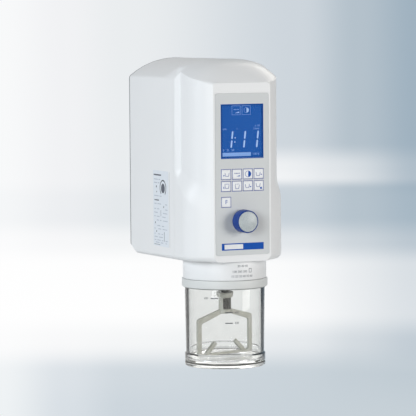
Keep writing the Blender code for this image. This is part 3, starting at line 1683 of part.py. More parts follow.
def vent_valve():
    """Vent valve on the base plate, with a nipple to the dock and one to the pump."""
    bottom = BASE_TOP + CLEARANCE
    thing = block(
        "vent_valve",
        (VALVE_SIZE, VALVE_SIZE, VALVE_HEIGHT),
        valve_place(bottom + VALVE_HEIGHT / 2),
        bevel=EDGE_CHAMFER,
    )
    length = NIPPLE_LENGTH + NIPPLE_ROOT
    upper = rod(
        "valve_upper_nipple",
        NIPPLE_RADIUS,
        length,
        valve_place(bottom + VALVE_HEIGHT + NIPPLE_LENGTH - length / 2),
        segments=POST_SEGMENTS,
    )
    reach = VALVE_SIZE / 2 + NIPPLE_LENGTH - length / 2
    front = rod(
        "valve_front_nipple",
        NIPPLE_RADIUS,
        length,
        valve_place(bottom + VALVE_HEIGHT / 2) - Vector((0, reach, 0)),
        axis="Y",
        segments=POST_SEGMENTS,
    )
    join(thing, upper, front)
    return finish(thing, (0.10, 0.10, 0.12), 0.45)


def hose(name, route):
    """A rubber hose along a smooth curve through its route."""
    curve = bpy.data.curves.new(name, "CURVE")
    curve.dimensions = "3D"
    curve.bevel_depth = NIPPLE_RADIUS
    curve.bevel_resolution = 2
    curve.use_fill_caps = True
    points = smooth_route(route)
    spline = curve.splines.new("POLY")
    spline.points.add(len(points) - 1)
    for point, co in zip(spline.points, points):
        point.co = (*co, 1.0)
    guide = new_object(name + "_route", curve)
    thing = curve_to_mesh(guide, name, Matrix.Identity(4))
    return finish(thing, (0.75, 0.75, 0.72), 0.40)


def smooth_route(route, steps=2):
    """Points of a smooth curve through a route's own points, straight at both ends."""
    first = route[0].lerp(route[1], 0.5)
    last = route[-2].lerp(route[-1], 0.5)
    route = [route[0], first, *route[1:-1], last, route[-1]]
    path = [2 * route[0] - route[1], *route, 2 * route[-1] - route[-2]]
    points = []
    for index in range(len(route) - 1):
        before, here, there, after = path[index : index + 4]
        for step in range(steps):
            t = step / steps
            bend = 2 * here + (there - before) * t
            bend += (2 * before - 5 * here + 4 * there - after) * t * t
            bend += (3 * here - before - 3 * there + after) * t * t * t
            points.append(bend / 2)
    return points + [route[-1]]


def hoses():
    """Hose from the dock to the valve, and from the valve to the pump."""
    dock = place(-PORT_OFFSET, AXIS_DEPTH, DOCK_TOP + NIPPLE_LENGTH + CLEARANCE)
    middle = BASE_TOP + CLEARANCE + VALVE_HEIGHT / 2
    reach = VALVE_SIZE / 2 + NIPPLE_LENGTH + CLEARANCE
    valve_front = valve_place(middle) - Vector((0, reach, 0))
    straight = 2 * NIPPLE_RADIUS
    hose(
        "dock_hose",
        [
            dock,
            dock + Vector((0, 0, straight)),
            dock.lerp(valve_front, 0.5) + Vector((-0.5 * straight, 0, straight)),
            valve_front - Vector((0, straight, 0)),
            valve_front,
        ],
    )
    valve_top = valve_place(BASE_TOP + VALVE_HEIGHT + NIPPLE_LENGTH + 2 * CLEARANCE)
    pump_middle = pump_head_bottom() + PUMP_HEAD_HEIGHT / 2
    pump = place(-PUMP_HEAD_WIDTH / 2 - NIPPLE_LENGTH - CLEARANCE, PUMP_DEPTH, pump_middle)
    passage = valve_place(BRACKET_TOP + 2 * straight)
    bend = Vector((min(valve_top.x, pump.x) - straight, 0, 0))
    halfway = passage.lerp(pump, 0.5)
    hose(
        "vacuum_hose",
        [
            valve_top,
            valve_place(BRACKET_HEIGHT),
            passage,
            Vector((bend.x, halfway.y, halfway.z)),
            pump - Vector((2 * straight, straight, straight)),
            pump - Vector((straight, 0, 0)),
            pump,
        ],
    )


# Mains inlet, power board and power switch


def mains_inlet():
    """Appliance inlet in the base plate, open downwards, with three pins."""
    flange_top = -CLEARANCE
    thing = block(
        "mains_inlet",
        (
            INLET_WIDTH + 2 * INLET_FLANGE,
            INLET_LENGTH + 2 * INLET_FLANGE,
            INLET_FLANGE_THICKNESS,
        ),
        place(INLET_OFFSET, INLET_DEPTH, flange_top - INLET_FLANGE_THICKNESS / 2),
    )
    body_bottom = flange_top - INLET_FLANGE_THICKNESS / 2
    body_height = INLET_HEIGHT - body_bottom
    body = block(
        "inlet_body",
        (INLET_WIDTH, INLET_LENGTH, body_height),
        place(INLET_OFFSET, INLET_DEPTH, body_bottom + body_height / 2),
    )
    well = block(
        "inlet_well",
        (
            INLET_WIDTH - 2 * INLET_WALL,
            INLET_LENGTH - 2 * INLET_WALL,
            2 * (INLET_HEIGHT - INLET_FLOOR),
        ),
        place(INLET_OFFSET, INLET_DEPTH, flange_top),
    )
    cut(join(thing, body), well)
    pin_top = INLET_HEIGHT - INLET_FLOOR / 2
    pin_bottom = INLET_PIN_RECESS
    for index, column in enumerate((-1, 0, 1), 1):
        row = -0.5 if column else 0.5
        pin = block(
            f"inlet_pin_{index}",
            (INLET_PIN, 2 * INLET_PIN, pin_top - pin_bottom),
            place(
                INLET_OFFSET + column * INLET_PIN_SPACING,
                INLET_DEPTH + row * INLET_EARTH_OFFSET,
                (pin_top + pin_bottom) / 2,
            ),
        )
        join(thing, pin)
    return finish(thing, (0.04, 0.04, 0.04), 0.50)


def power_board_front():
    """Depth of the front of the power board."""
    back = HOUSING_DEPTH - BACK_PLATE_THICKNESS - CLEARANCE
    return back - POWER_BOARD_STANDOFF - BOARD_THICKNESS


def power_board():
    """Power supply board on four standoffs in front of the back plate."""
    middle = POWER_BOARD_BOTTOM + POWER_BOARD_HEIGHT / 2
    front = power_board_front()
    thing = block(
        "power_board",
        (POWER_BOARD_WIDTH, BOARD_THICKNESS, POWER_BOARD_HEIGHT),
        place(0, front + BOARD_THICKNESS / 2, middle),
    )
    length = POWER_BOARD_STANDOFF + BOARD_THICKNESS / 2
    for row in (-1, 1):
        for side in (-1, 1):
            x = side * (POWER_BOARD_WIDTH / 2 - 2 * BOARD_POST)
            height = middle + row * (POWER_BOARD_HEIGHT / 2 - 2 * BOARD_POST)
            standoff = rod(
                f"standoff_{row}_{side}",
                BOARD_POST,
                length,
                place(x, front + BOARD_THICKNESS / 2 + length / 2, height),
                axis="Y",
                segments=POST_SEGMENTS,
            )
            join(thing, standoff)
    return finish(thing, (0.05, 0.25, 0.10), 0.50)


def transformer():
    """Transformer on the power board: a laminated core with its winding through it."""
    back = power_board_front() - CLEARANCE
    middle = POWER_BOARD_BOTTOM + POWER_BOARD_HEIGHT / 2
    x = -POWER_BOARD_WIDTH / 2 + TRANSFORMER_WIDTH / 2 + 4 * BOARD_POST
    depth = back - TRANSFORMER_DEPTH / 2
    thing = block(
        "transformer",
        (TRANSFORMER_WIDTH, TRANSFORMER_DEPTH, TRANSFORMER_HEIGHT),
        place(x, depth, middle),
    )
    winding = block(
        "transformer_winding",
        (WINDING_WIDTH, WINDING_DEPTH, WINDING_HEIGHT),
        place(x, depth, middle),
        bevel=WALL / 2,
    )
    join(thing, winding)
    return finish(thing, (0.35, 0.28, 0.18), 0.55)


def switch_face():
    """Place across of the outer face of the housing's right side."""
    return HOUSING_WIDTH / 2


def switch_body():
    """Body of the power switch in the right side wall, with a well for its rocker."""
    face = switch_face() + CLEARANCE
    thing = block(
        "switch_body",
        (
            SWITCH_FLANGE,
            SWITCH_BODY_WIDTH + 2 * SWITCH_FLANGE,
            SWITCH_BODY_HEIGHT + 2 * SWITCH_FLANGE,
        ),
        place(face + SWITCH_FLANGE / 2, SWITCH_DEPTH, SWITCH_HEIGHT),
    )
    outer = face + SWITCH_FLANGE / 2
    body = block(
        "switch_case",
        (SWITCH_BODY_LENGTH, SWITCH_BODY_WIDTH, SWITCH_BODY_HEIGHT),
        place(outer - SWITCH_BODY_LENGTH / 2, SWITCH_DEPTH, SWITCH_HEIGHT),
    )
    well_floor = face - ROCKER_HEEL - ROCKER_GAP
    well_length = SWITCH_BODY_LENGTH
    well = block(
        "switch_well",
        (
            well_length,
            ROCKER_WIDTH + 2 * CLEARANCE,
            ROCKER_LENGTH + 4 * CLEARANCE,
        ),
        place(well_floor + well_length / 2, SWITCH_DEPTH, SWITCH_HEIGHT),
    )
    cut(join(thing, body), well)
    return finish(thing, (0.04, 0.04, 0.04), 0.45)


def power_rocker():
    """Rocker of the power switch, its origin on the rocking axis along Y."""
    half = ROCKER_LENGTH / 2
    profile = [
        (ROCKER_RISE, half),
        (ROCKER_DIP, 0),
        (ROCKER_RISE, -half),
        (-ROCKER_END, -half),
        (-ROCKER_HEEL, 0),
        (-ROCKER_END, half),
    ]
    pivot = place(switch_face(), SWITCH_DEPTH, SWITCH_HEIGHT)
    turn = Matrix.Rotation(math.radians(ROCKER_TILT), 4, "Y")
    lie = Matrix.Translation(pivot) @ turn @ Matrix.Rotation(math.pi / 2, 4, "X")
    thing = extruded("power_rocker", [profile], ROCKER_WIDTH, lie)
    return finish(thing, (0.03, 0.03, 0.03), 0.35)


def build():
    """Model every piece of the unit."""
    clear_scene()
    for make in (
        front_housing,
        rear_housing,
        base_plate,
        back_plate,
        keypad_panel,
        display_window,
        lcd_module,
        keys,
        control_board,
        encoder_body,
        encoder_shaft,
        control_knob,
        knob_cap,
        dock_flange,
        dock_seal,
        bearings,
        drive_bracket,
        drive_shaft,
        drive_gear,
        motor_pinion,
        drive_coupling,
        motor_body,
        mixing_lid,
        lid_filter,
        lid_bush,
        lid_seal,
        bowl_collar,
        mixing_bowl,
        paddle_shaft,
        mixing_paddle,
        pump_bracket,
        pump_motor,
        pump_head,
        vent_valve,
        hoses,
        mains_inlet,
        power_board,
        transformer,
        switch_body,
        power_rocker,
    ):
        make()


build()
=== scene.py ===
"""Looks of a wall-hung vacuum mixing unit, dressed over its packed solids.

Metres, +Z up. The unit faces -Y. Depths run from the front face back, heights from the housing's underside
up, and radii from the axis of the bowl. Print is drawn in millimetres.
"""

import json
import math

import bmesh
import bpy
from bpy.props import FloatProperty, FloatVectorProperty, IntProperty, PointerProperty
from mathutils import Matrix, Vector


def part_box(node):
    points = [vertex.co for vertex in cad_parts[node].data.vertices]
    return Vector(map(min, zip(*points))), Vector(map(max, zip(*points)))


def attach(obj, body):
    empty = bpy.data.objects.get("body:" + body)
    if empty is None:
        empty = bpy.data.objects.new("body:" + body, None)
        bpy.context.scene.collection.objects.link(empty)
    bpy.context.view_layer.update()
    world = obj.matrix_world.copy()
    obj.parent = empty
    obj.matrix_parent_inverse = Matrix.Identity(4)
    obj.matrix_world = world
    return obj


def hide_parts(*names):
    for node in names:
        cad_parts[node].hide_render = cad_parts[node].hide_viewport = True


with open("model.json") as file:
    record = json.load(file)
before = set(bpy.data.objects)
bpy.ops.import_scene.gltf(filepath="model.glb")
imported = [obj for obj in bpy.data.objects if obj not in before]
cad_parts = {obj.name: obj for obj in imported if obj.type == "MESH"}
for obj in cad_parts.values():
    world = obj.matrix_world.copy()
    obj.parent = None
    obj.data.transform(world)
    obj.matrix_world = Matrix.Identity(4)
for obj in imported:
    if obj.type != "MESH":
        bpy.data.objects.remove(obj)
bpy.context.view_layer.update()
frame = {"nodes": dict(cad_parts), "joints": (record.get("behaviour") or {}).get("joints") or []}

bl_info = {
    "name": "Vacuum mixing unit",
    "version": (1, 0, 0),
    "blender": (4, 5, 0),
    "location": "3D View > Sidebar > Mixer",
    "description": "Dresses the solids of a wall-hung vacuum mixing unit",
    "category": "Add Mesh",
}

FRONT_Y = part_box("front_housing")[0].y
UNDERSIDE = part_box("base_plate")[0].z
SIDE_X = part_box("rear_housing")[1].x
TOP_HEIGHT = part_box("rear_housing")[1].z - UNDERSIDE
REAR_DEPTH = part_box("rear_housing")[1].y - FRONT_Y
PANEL_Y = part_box("keypad_panel")[0].y
WALL_DEPTH = -FRONT_Y

KEYS = (*(f"key_{count}" for count in range(1, 9)), "key_f")
FINISHES = {}

# Play between pieces, how far a shell's inner rim stands back, and the distance under which corners are one
GAP = 0.0003
RIM_FALL = 0.0004
MERGE = 1e-6

# Print: a millimetre, then in millimetres the ink's thickness, the gap under it and its merging distance
MM = 0.001
INK = 0.03
INK_LIFT = 0.012
INK_MERGE = 1e-4

# Steps of the housing's outlines and depths, of full turns and of rounded corners
SKIRT_STEPS = 3
SKIRT_POINTS = 2 * SKIRT_STEPS + 3
SWEEP_STEPS = 12
TOP_STEPS = 26
NOSE_STEPS = 12
NOSE_SPREAD = 1.3
STEP_STEPS = 8
FADE_STEPS = 10
ROUND_STEPS = 128
KNOB_STEPS = 96
STEM_STEPS = 64
HOLE_STEPS = 48
SCREW_STEPS = 24
ARC_STEPS = 5

# Angles between two faces from which an edge is sharp: on pieces, on the solids that stay, and for rounding
SHARP = math.radians(35)
SOLID_SHARP = math.radians(32)
BENT = math.radians(50)

# Share of an edge's length from which it runs along an axis
ALONG = 0.99


def joint_place(name):
    """Where a joint's axis stands at rest."""
    return next(Vector(joint["pos_m"]) for joint in frame["joints"] if joint["name"] == name)


AXIS = joint_place("drive_spin")
KNOB = joint_place("knob_turn")


def tone(red, green, blue):
    """A screen colour, 0 to 255, as linear light."""
    return tuple(((part / 255 + 0.055) / 1.055) ** 2.4 for part in (red, green, blue))


def length(name, description, default):
    """A length that a user may change."""
    return FloatProperty(
        name=name, description=description, default=default, min=0.0, precision=5, unit="LENGTH"
    )


def number(name, description, default):
    """A plain number that a user may change."""
    return FloatProperty(name=name, description=description, default=default)


def watts(name, description, default):
    """A lamp's power that a user may change."""
    return FloatProperty(name=name, description=description, default=default, min=0.0, unit="POWER")


def colour(name, description, screen):
    """A colour that a user may change."""
    return FloatVectorProperty(
        name=name, description=description, default=tone(*screen), size=3, min=0.0, max=1.0, subtype="COLOR"
    )


class MixerHousing(bpy.types.PropertyGroup):
    """Sizes of the moulded housing."""

    wall: length("Wall", "Thickness of the moulded wall", 0.003)
    rear_lift: length("Rear lift", "How far the underside rises at the wall", 0.0105)
    rear_lift_length: length("Rear lift length", "Length over which the underside rises", 0.021)
    skirt_front_drop: length("Skirt front drop", "How far the skirt hangs down at the front", 0.0023)
    skirt_rear_drop: length("Skirt rear drop", "How far the skirt hangs down at the wall", 0.0080)
    skirt_width: length("Skirt width", "Width of the skirt along each side", 0.0135)
    chamfer_width: length("Chamfer width", "Width of the chamfer along the skirt", 0.0060)
    chamfer_height: length("Chamfer height", "Height of the chamfer along the skirt", 0.0068)
    skirt_round: length("Skirt round", "Round on both edges of that chamfer", 0.006)
    seam: length("Seam", "Depth of the seam between both shells", 0.070)
    seam_straight: length("Seam straight", "Length before the seam that no longer changes", 0.0012)
    front_width: length("Front width", "Width of the front face", 0.0886)
    nose_width: length("Nose width", "Width of the nose before it steps out", 0.138)
    nose_run: length("Nose run", "Depth at which the nose has its full width", 0.057)
    nose_curve: number("Nose curve", "Fullness of the nose's sides", 3.3)
    forehead: length("Forehead", "Height of the front face", 0.252)
    edge_rise: length("Edge rise", "How far the dome's edge climbs towards the seam", 0.0185)
    dome_curve: number("Dome curve", "Fullness of the dome along its ridge", 2.8)
    dome_section: number("Dome section", "Fullness of the dome across the nose", 3.0)
    flare_run: length("Flare run", "Depth at which the lower front has its full width", 0.040)
    flare_curve: number("Flare curve", "Fullness of the flare", 2.1)
    sweep_height: length("Sweep height", "Height of the sweep at the front face", 0.085)
    sweep_rise: length("Sweep rise", "How far the sweep climbs to the seam", 0.040)
    sweep_blend: length("Sweep blend", "Height over which flare turns to nose at the front face", 0.046)
    sweep_end_blend: length("Sweep end blend", "The same height at the seam", 0.017)
    arch_radius: length("Arch radius", "Radius of the rear housing's top", 0.120)
    shoulder: length("Shoulder", "Radius between the rear housing's side and top", 0.0065)
    arch_fade: length("Arch fade", "Length behind the seam over which dome turns to arch", 0.045)
    corner: length("Corner", "Round on the front face's upper corners", 0.0045)
    corner_run: length("Corner run", "Depth at which that round has run out", 0.014)
    edge_round: length("Edge round", "Round on the front face's outline and the dome's edge", 0.0017)
    # The next two size a dark band of painted shade along the wall, standing in for the rear edge falling
    # into shade
    trim: length("Trim", "Width of the dark trim along the wall", 0.0022)
    trim_lift: length("Trim lift", "How far that trim stands out of the housing", 0.0001)
    base_half: length("Base half width", "Half the width of the opening in the underside", 0.058)
    base_front: length("Base front", "Depth at which the opening in the underside starts", 0.014)
    base_rear: length("Base rear", "Distance of that opening's end from the wall", 0.027)
    base_front_round: length("Base front round", "Round on that opening's front corners", 0.040)
    base_rear_round: length("Base rear round", "Round on that opening's rear corners", 0.010)
    switch_overlap: length("Switch overlap", "How far the power switch's rim covers its opening", 0.0018)


class MixerFront(bpy.types.PropertyGroup):
    """Sizes of what the front panel carries."""

    panel_corner: length("Panel corner", "Round on the corners of the panel's recess", 0.0032)
    shaft_opening: length("Shaft opening", "Radius of the opening for the knob's shaft", 0.0049)
    key_size: length("Key size", "Side of a square key", 0.0134)
    key_corner: length("Key corner", "Round on a key's four corners", 0.0011)
    key_round: length("Key round", "Round on a key's edges", 0.0007)
    key_flange: length("Key flange", "How far a key's flange stands out behind the wall", 0.0009)
    key_flange_thickness: length("Key flange thickness", "Thickness of that flange", 0.0008)
    key_stud: length("Key stud", "Half the width of the stud behind a key", 0.0015)
    knob_radius: length("Knob radius", "Radius of the control knob", 0.0165)
    knob_waist: length("Knob waist", "How much narrower the knob is at its end", 0.0004)
    knob_round: length("Knob round", "Round on the knob's outer edge", 0.0011)
    knob_lift: length("Knob lift", "Gap between the knob and the panel", 0.001)
    knob_wall: length("Knob wall", "Thickness of the knob's wall", 0.0022)
    knob_boss: length("Knob boss", "Radius of the boss inside the knob", 0.0055)
    knob_bore: length("Knob bore", "Radius of that boss's bore", 0.0033)
    cap_radius: length("Cap radius", "Radius of the knob's cap", 0.0144)
    cap_thickness: length("Cap thickness", "Depth of the seat of the knob's cap", 0.0014)
    groove_width: length("Groove width", "Half the width of the groove near the cap's edge", 0.0004)
    groove_depth: length("Groove depth", "Depth of that groove", 0.00025)


class MixerBowl(bpy.types.PropertyGroup):
    """Sizes of the lid, the bowl and the paddle."""

    lid_round: length("Lid round", "Round on the lid's shoulder", 0.0022)
    lid_gap: length("Lid gap", "Distance of the lid's shoulder from the housing", 0.0006)
    lid_wall: length("Lid wall", "Thickness of the lid's top", 0.0044)
    spigot_radius: length("Spigot radius", "Radius of the lid's spigot in the housing", 0.0308)
    neck_radius: length("Neck radius", "Radius of the lid's neck in the bowl", 0.0528)
    neck_wall: length("Neck wall", "Thickness of that neck", 0.003)
    lid_hub_radius: length("Lid hub radius", "Radius of the lid's hub", 0.016)
    lid_hub_drop: length("Lid hub drop", "How far that hub reaches under the housing", 0.0298)
    bush_radius: length("Bush radius", "Radius of the bush's seat in the hub", 0.0092)
    bush_drop: length("Bush drop", "Distance of that seat's top from the housing", 0.0142)
    shaft_hole: length("Shaft hole", "Radius of the hole for the paddle's shaft", 0.00723)
    well_radius: length("Well radius", "Radius of the well for the coupling", 0.013)
    well_drop: length("Well drop", "Distance of that well's floor from the housing", 0.0115)
    rim_radius: length("Rim radius", "Outer radius of the bowl's rim", 0.058)
    taper: length("Taper", "How much narrower the bowl is at its floor", 0.0015)
    wall: length("Bowl wall", "Thickness of the bowl's wall", 0.0034)
    # The next two size a dark band of painted shade under the collar, standing in for the shade of the gap
    # between collar and bowl
    collar_shade_width: length("Lip width", "Width of the dark lip under the collar", 0.0012)
    collar_shade_height: length("Lip height", "Height of that lip", 0.0011)
    floor: length("Bowl floor", "Thickness of the bowl's floor and foot", 0.0085)
    fillet: length("Fillet", "Round between the bowl's floor and wall, inside", 0.005)
    foot_radius: length("Foot radius", "Radius of the bowl's foot", 0.0582)
    foot_height: length("Foot height", "Height of the bowl's foot", 0.0175)
    foot_slope: length("Foot slope", "Height over which the foot turns into the wall", 0.002)
    foot_rim: length("Foot rim", "Width of the rim that the bowl stands on", 0.006)
    # The next three place a dark ring of painted shade in a groove of the foot; it stands in for the dark
    # line that the stepped foot shows through the clear wall
    foot_band: length("Foot band", "Height of the ring above the foot's lower end", 0.0056)
    foot_step: length("Foot step", "Depth of the groove that holds that ring", 0.001)
    foot_shade_height: length("Ring height", "Height of the dark ring in the foot", 0.0019)
    foot_recess: length("Foot recess", "Depth of the hollow under the foot", 0.0017)
    recess_slope: length("Recess slope", "Width of that hollow's sloping edge", 0.002)
    hub_radius: length("Hub radius", "Radius of the paddle's hub", 0.0127)
    hub_height: length("Hub height", "Height of the paddle's hub", 0.0073)
    hub_slope: length("Hub slope", "How much narrower that hub is at its lower end", 0.0012)
    stem_radius: length("Stem radius", "Radius of the paddle's stem", 0.0092)
    stem_length: length("Stem length", "Length of the paddle's stem", 0.0228)
    bore_radius: length("Bore radius", "Radius of the bore in the paddle's stem", 0.0053)
    block_side: length("Block side", "Side of the shaft's square block", 0.0125)
    block_height: length("Block height", "Height of the shaft's block", 0.0158)
    block_drop: length("Block drop", "Distance of that block under the hub", 0.0008)
    paddle_reach: length("Paddle reach", "Radius of the paddle's legs", 0.0459)
    paddle_leg: length("Paddle leg", "Width of the paddle's legs", 0.0065)
    paddle_arm: length("Paddle arm", "Height of the paddle's arms", 0.0068)
    paddle_arm_drop: length("Paddle arm drop", "How far the arms fall to the legs", 0.012)
    paddle_bar: length("Paddle bar", "Height of the paddle's bottom bar", 0.0035)
    paddle_root: length("Paddle root", "Distance of the arms' start from the axis", 0.0046)
    fin_root: length("Fin root", "Distance of a fin's lower end from the axis", 0.032)
    fin_tip: length("Fin tip", "Distance of a fin's upper end from the axis", 0.016)
    fin_rise: length("Fin rise", "Height of a fin over the bottom bar", 0.017)
    fin_half: length("Fin half", "Half the thickness of a fin", 0.003)
    paddle_thickness: length("Paddle thickness", "Thickness of the paddle's frame", 0.005)
    paddle_round: length("Paddle round", "Round on the paddle's edges", 0.0008)
    paddle_angle: FloatProperty(
        name="Paddle angle",
        description="How far the paddle is turned at rest",
        default=math.radians(6),
        subtype="ANGLE",
    )


class MixerColours(bpy.types.PropertyGroup):
    """Colours of the finishes."""

    white: colour("White", "Moulded housing and lid", (232, 233, 234))
    panel: colour("Panel", "Keypad panel", (204, 207, 208))
    key: colour("Key", "Key caps", (235, 237, 239))
    blue: colour("Blue", "Key signs and strip", (16, 82, 174))
    display: colour("Display", "Lit ground of the display", (26, 80, 152))
    digits: colour("Digits", "Signs of the display", (172, 203, 244))
    faint: colour("Faint", "Small signs of the display", (138, 176, 234))
    knob: colour("Knob", "Control knob", (26, 64, 142))
    grey: colour("Grey", "Collar of the bowl", (213, 215, 214))
    paddle: colour("Paddle", "Mixing paddle", (160, 160, 150))
    ink: colour("Ink", "Dark print", (70, 74, 80))
    clear: colour("Clear", "Tint of the bowl", (252, 252, 251))


class MixerStage(bpy.types.PropertyGroup):
    """Floor, light and camera."""

    floor_drop: length("Floor drop", "Height of the floor under the origin", 0.55)
    floor_radius: length("Floor radius", "Radius of the floor", 1.0)
    ambient: number("Ambient", "Strength of the even light", 0.12)
    through: number("Through", "Strength of the light seen through the bowl", 1.65)
    key_power: watts("Key power", "Main light, front left", 48.0)
    fill_power: watts("Fill power", "Light from the front right", 57.0)
    side_power: watts("Side power", "Light from the left", 47.0)
    rear_power: watts("Rear power", "Light from behind", 28.0)
    lens: FloatProperty(name="Lens", description="Focal length", default=219.6, unit="CAMERA")
    segments: IntProperty(name="Segments", description="Steps round the floor", default=96, min=12)


# Shapes


def at(x, depth, height):
    """A point by its distance from the middle, its depth and its height."""
    return Vector((x, FRONT_Y + depth, UNDERSIDE + height))


def ease(value):
    """A smooth step from 0 to 1."""
    value = min(max(value, 0.0), 1.0)
    return value * value * (3 - 2 * value)


def neighbours(ring):
    """Each item of a closed ring with the next one."""
    return zip(ring, ring[1:] + ring[:1])


def rounded_line(corners, steps=ARC_STEPS):
    """Points along corners of (x, y, radius), with an arc wherever the radius isn't 0."""
    points = []
    for index, (x, y, radius) in enumerate(corners):
        here = Vector((x, y))
        if not radius:
            points.append(here)
            continue
        back = (Vector(corners[index - 1][:2]) - here).normalized()
        on = (Vector(corners[(index + 1) % len(corners)][:2]) - here).normalized()
        half = back.angle(on) / 2
        centre = here + (back + on).normalized() * radius / math.sin(half)
        first = here + back * radius / math.tan(half) - centre
        last = here + on * radius / math.tan(half) - centre
        sweep = math.pi - 2 * half
        for step in range(steps + 1):
            share = step / steps
            arm = first * math.sin((1 - share) * sweep) + last * math.sin(share * sweep)
            points.append(centre + arm / math.sin(sweep))
    return points


def turned(profile, centre, along="Z", steps=ROUND_STEPS, closed=True):
    """A shape turned about an axis through centre from a profile of (radius, place along the axis)."""
    shape = bmesh.new()
    corners = []
    for radius, place in profile:
        point = (centre.x + radius, centre.y, place) if along == "Z" else (centre.x + radius, place, centre.z)
        corners.append(shape.verts.new(point))
    pairs = list(zip(corners, corners[1:]))
    if closed:
        pairs.append((corners[-1], corners[0]))
    line = [shape.edges.new(pair) for pair in pairs]
    axis = (0, 0, 1) if along == "Z" else (0, 1, 0)
    bmesh.ops.spin(
        shape, geom=corners + line, cent=centre, axis=axis, angle=math.tau, steps=steps, use_merge=True
    )
    return tidy(shape)


def tidy(shape):
    """Merge a shape's doubles and turn its faces outward."""
    bmesh.ops.remove_doubles(shape, verts=shape.verts, dist=MERGE)
    bmesh.ops.dissolve_degenerate(shape, edges=shape.edges, dist=MERGE)
    bmesh.ops.recalc_face_normals(shape, faces=shape.faces)
    return shape


def soften(shape, edges, width, segments=3):
    """Round some edges of a shape."""
    bmesh.ops.bevel(
        shape,
        geom=edges,
        offset=width,
        offset_type="OFFSET",
        affect="EDGES",
        segments=segments,
        profile=0.5,
        material=-1,
        clamp_overlap=True,
    )
    return shape


def block(low, high, along=None, corner=0.0, edge=0.0):
    """A box, with its four edges along one axis rounded by corner and all others by edge."""
    shape = bmesh.new()
    low = Vector(low)
    high = Vector(high)
    scale = Matrix.Diagonal((*(high - low), 1))
    bmesh.ops.create_cube(shape, size=1, matrix=Matrix.Translation((low + high) / 2) @ scale)
    if corner:
        soften(shape, [line for line in shape.edges if runs_along(line, along)], corner, 4)
    if edge:
        soften(shape, bent_edges(shape), edge)
    return shape


def bent_edges(shape):
    """The edges at which a shape bends sharply."""
    return [line for line in shape.edges if line.calc_face_angle(0) > BENT]


def runs_along(line, along):
    """Whether an edge runs along an axis, 0 for x, 1 for y and 2 for z."""
    run = line.verts[1].co - line.verts[0].co
    return abs(run[along]) > ALONG * run.length


def merge_shapes(shape, *others):
    """Put other shapes into a shape."""
    for other in others:
        mesh = bpy.data.meshes.new("part")
        other.to_mesh(mesh)
        other.free()
        shape.from_mesh(mesh)
        bpy.data.meshes.remove(mesh)
    return shape


def plate(outline, holes, thickness):
    """A flat plate in its own plane, from an outline and holes of points, lifted from 0 to thickness."""
    shape = bmesh.new()
    lines = []
    for points in [outline, *holes]:
        corners = [shape.verts.new((*point, 0)) for point in points]
        lines += [shape.edges.new(pair) for pair in neighbours(corners)]
    bmesh.ops.triangle_fill(shape, edges=lines, use_beauty=True, use_dissolve=True)
    raise_faces(shape, thickness)
    return tidy(shape)


def raise_faces(shape, thickness):
    """Give flat faces a thickness along their own z."""
    grown = bmesh.ops.extrude_face_region(shape, geom=shape.faces[:], use_keep_orig=True)["geom"]
    corners = [item for item in grown if isinstance(item, bmesh.types.BMVert)]
    bmesh.ops.translate(shape, verts=corners, vec=(0, 0, thickness))


def add_object(name, shape):
    """Make a shape an object."""
    mesh = bpy.data.meshes.new(name)
    shape.to_mesh(mesh)
    shape.free()
    thing = bpy.data.objects.new(name, mesh)
    bpy.context.collection.objects.link(thing)
    return thing


def add_piece(name, shape, body, finish, stands_for=()):
    """Make a shape a piece that rides on a body, with a finish by the key it has in make_finishes."""
    piece = add_object(name, shape)
    dress(piece, FINISHES[finish])
    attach(piece, body)
    if stands_for:
        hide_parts(*stands_for)
    return piece


def dress(piece, material):
    """Give a piece its material and smooth shading that stops at sharp edges."""
    piece.data.materials.clear()
    piece.data.materials.append(material)
    piece.data.shade_smooth()
    piece.data.set_sharp_from_angle(angle=SHARP)


def carve(piece, *shapes):
    """Cut shapes out of a piece, one after the other."""
    combine(piece, "DIFFERENCE", shapes)


def fuse(piece, *shapes):
    """Melt shapes into a piece, one after the other."""
    combine(piece, "UNION", shapes)


def combine(piece, operation, shapes):
    """Cut shapes out of a piece, or melt them into it."""
    tools = []
    for shape in shapes:
        tools.append(add_object("tool", tidy(shape)))
        step = piece.modifiers.new("cut", "BOOLEAN")
        step.object = tools[-1]
        step.operation = operation
        step.solver = "EXACT"
    material = piece.data.materials[0]
    graph = bpy.context.evaluated_depsgraph_get()
    mesh = bpy.data.meshes.new_from_object(piece.evaluated_get(graph))
    old = piece.data
    piece.modifiers.clear()
    piece.data = mesh
    mesh.name = piece.name
    bpy.data.meshes.remove(old)
    for tool in tools:
        bpy.data.meshes.remove(tool.data)
    dress(piece, material)


def even_normals(piece):
    """Let large flat faces keep their flat shading beside rounds."""
    weigh = piece.modifiers.new("even normals", "WEIGHTED_NORMAL")
    weigh.keep_sharp = True
    weigh.weight = 100


# Print


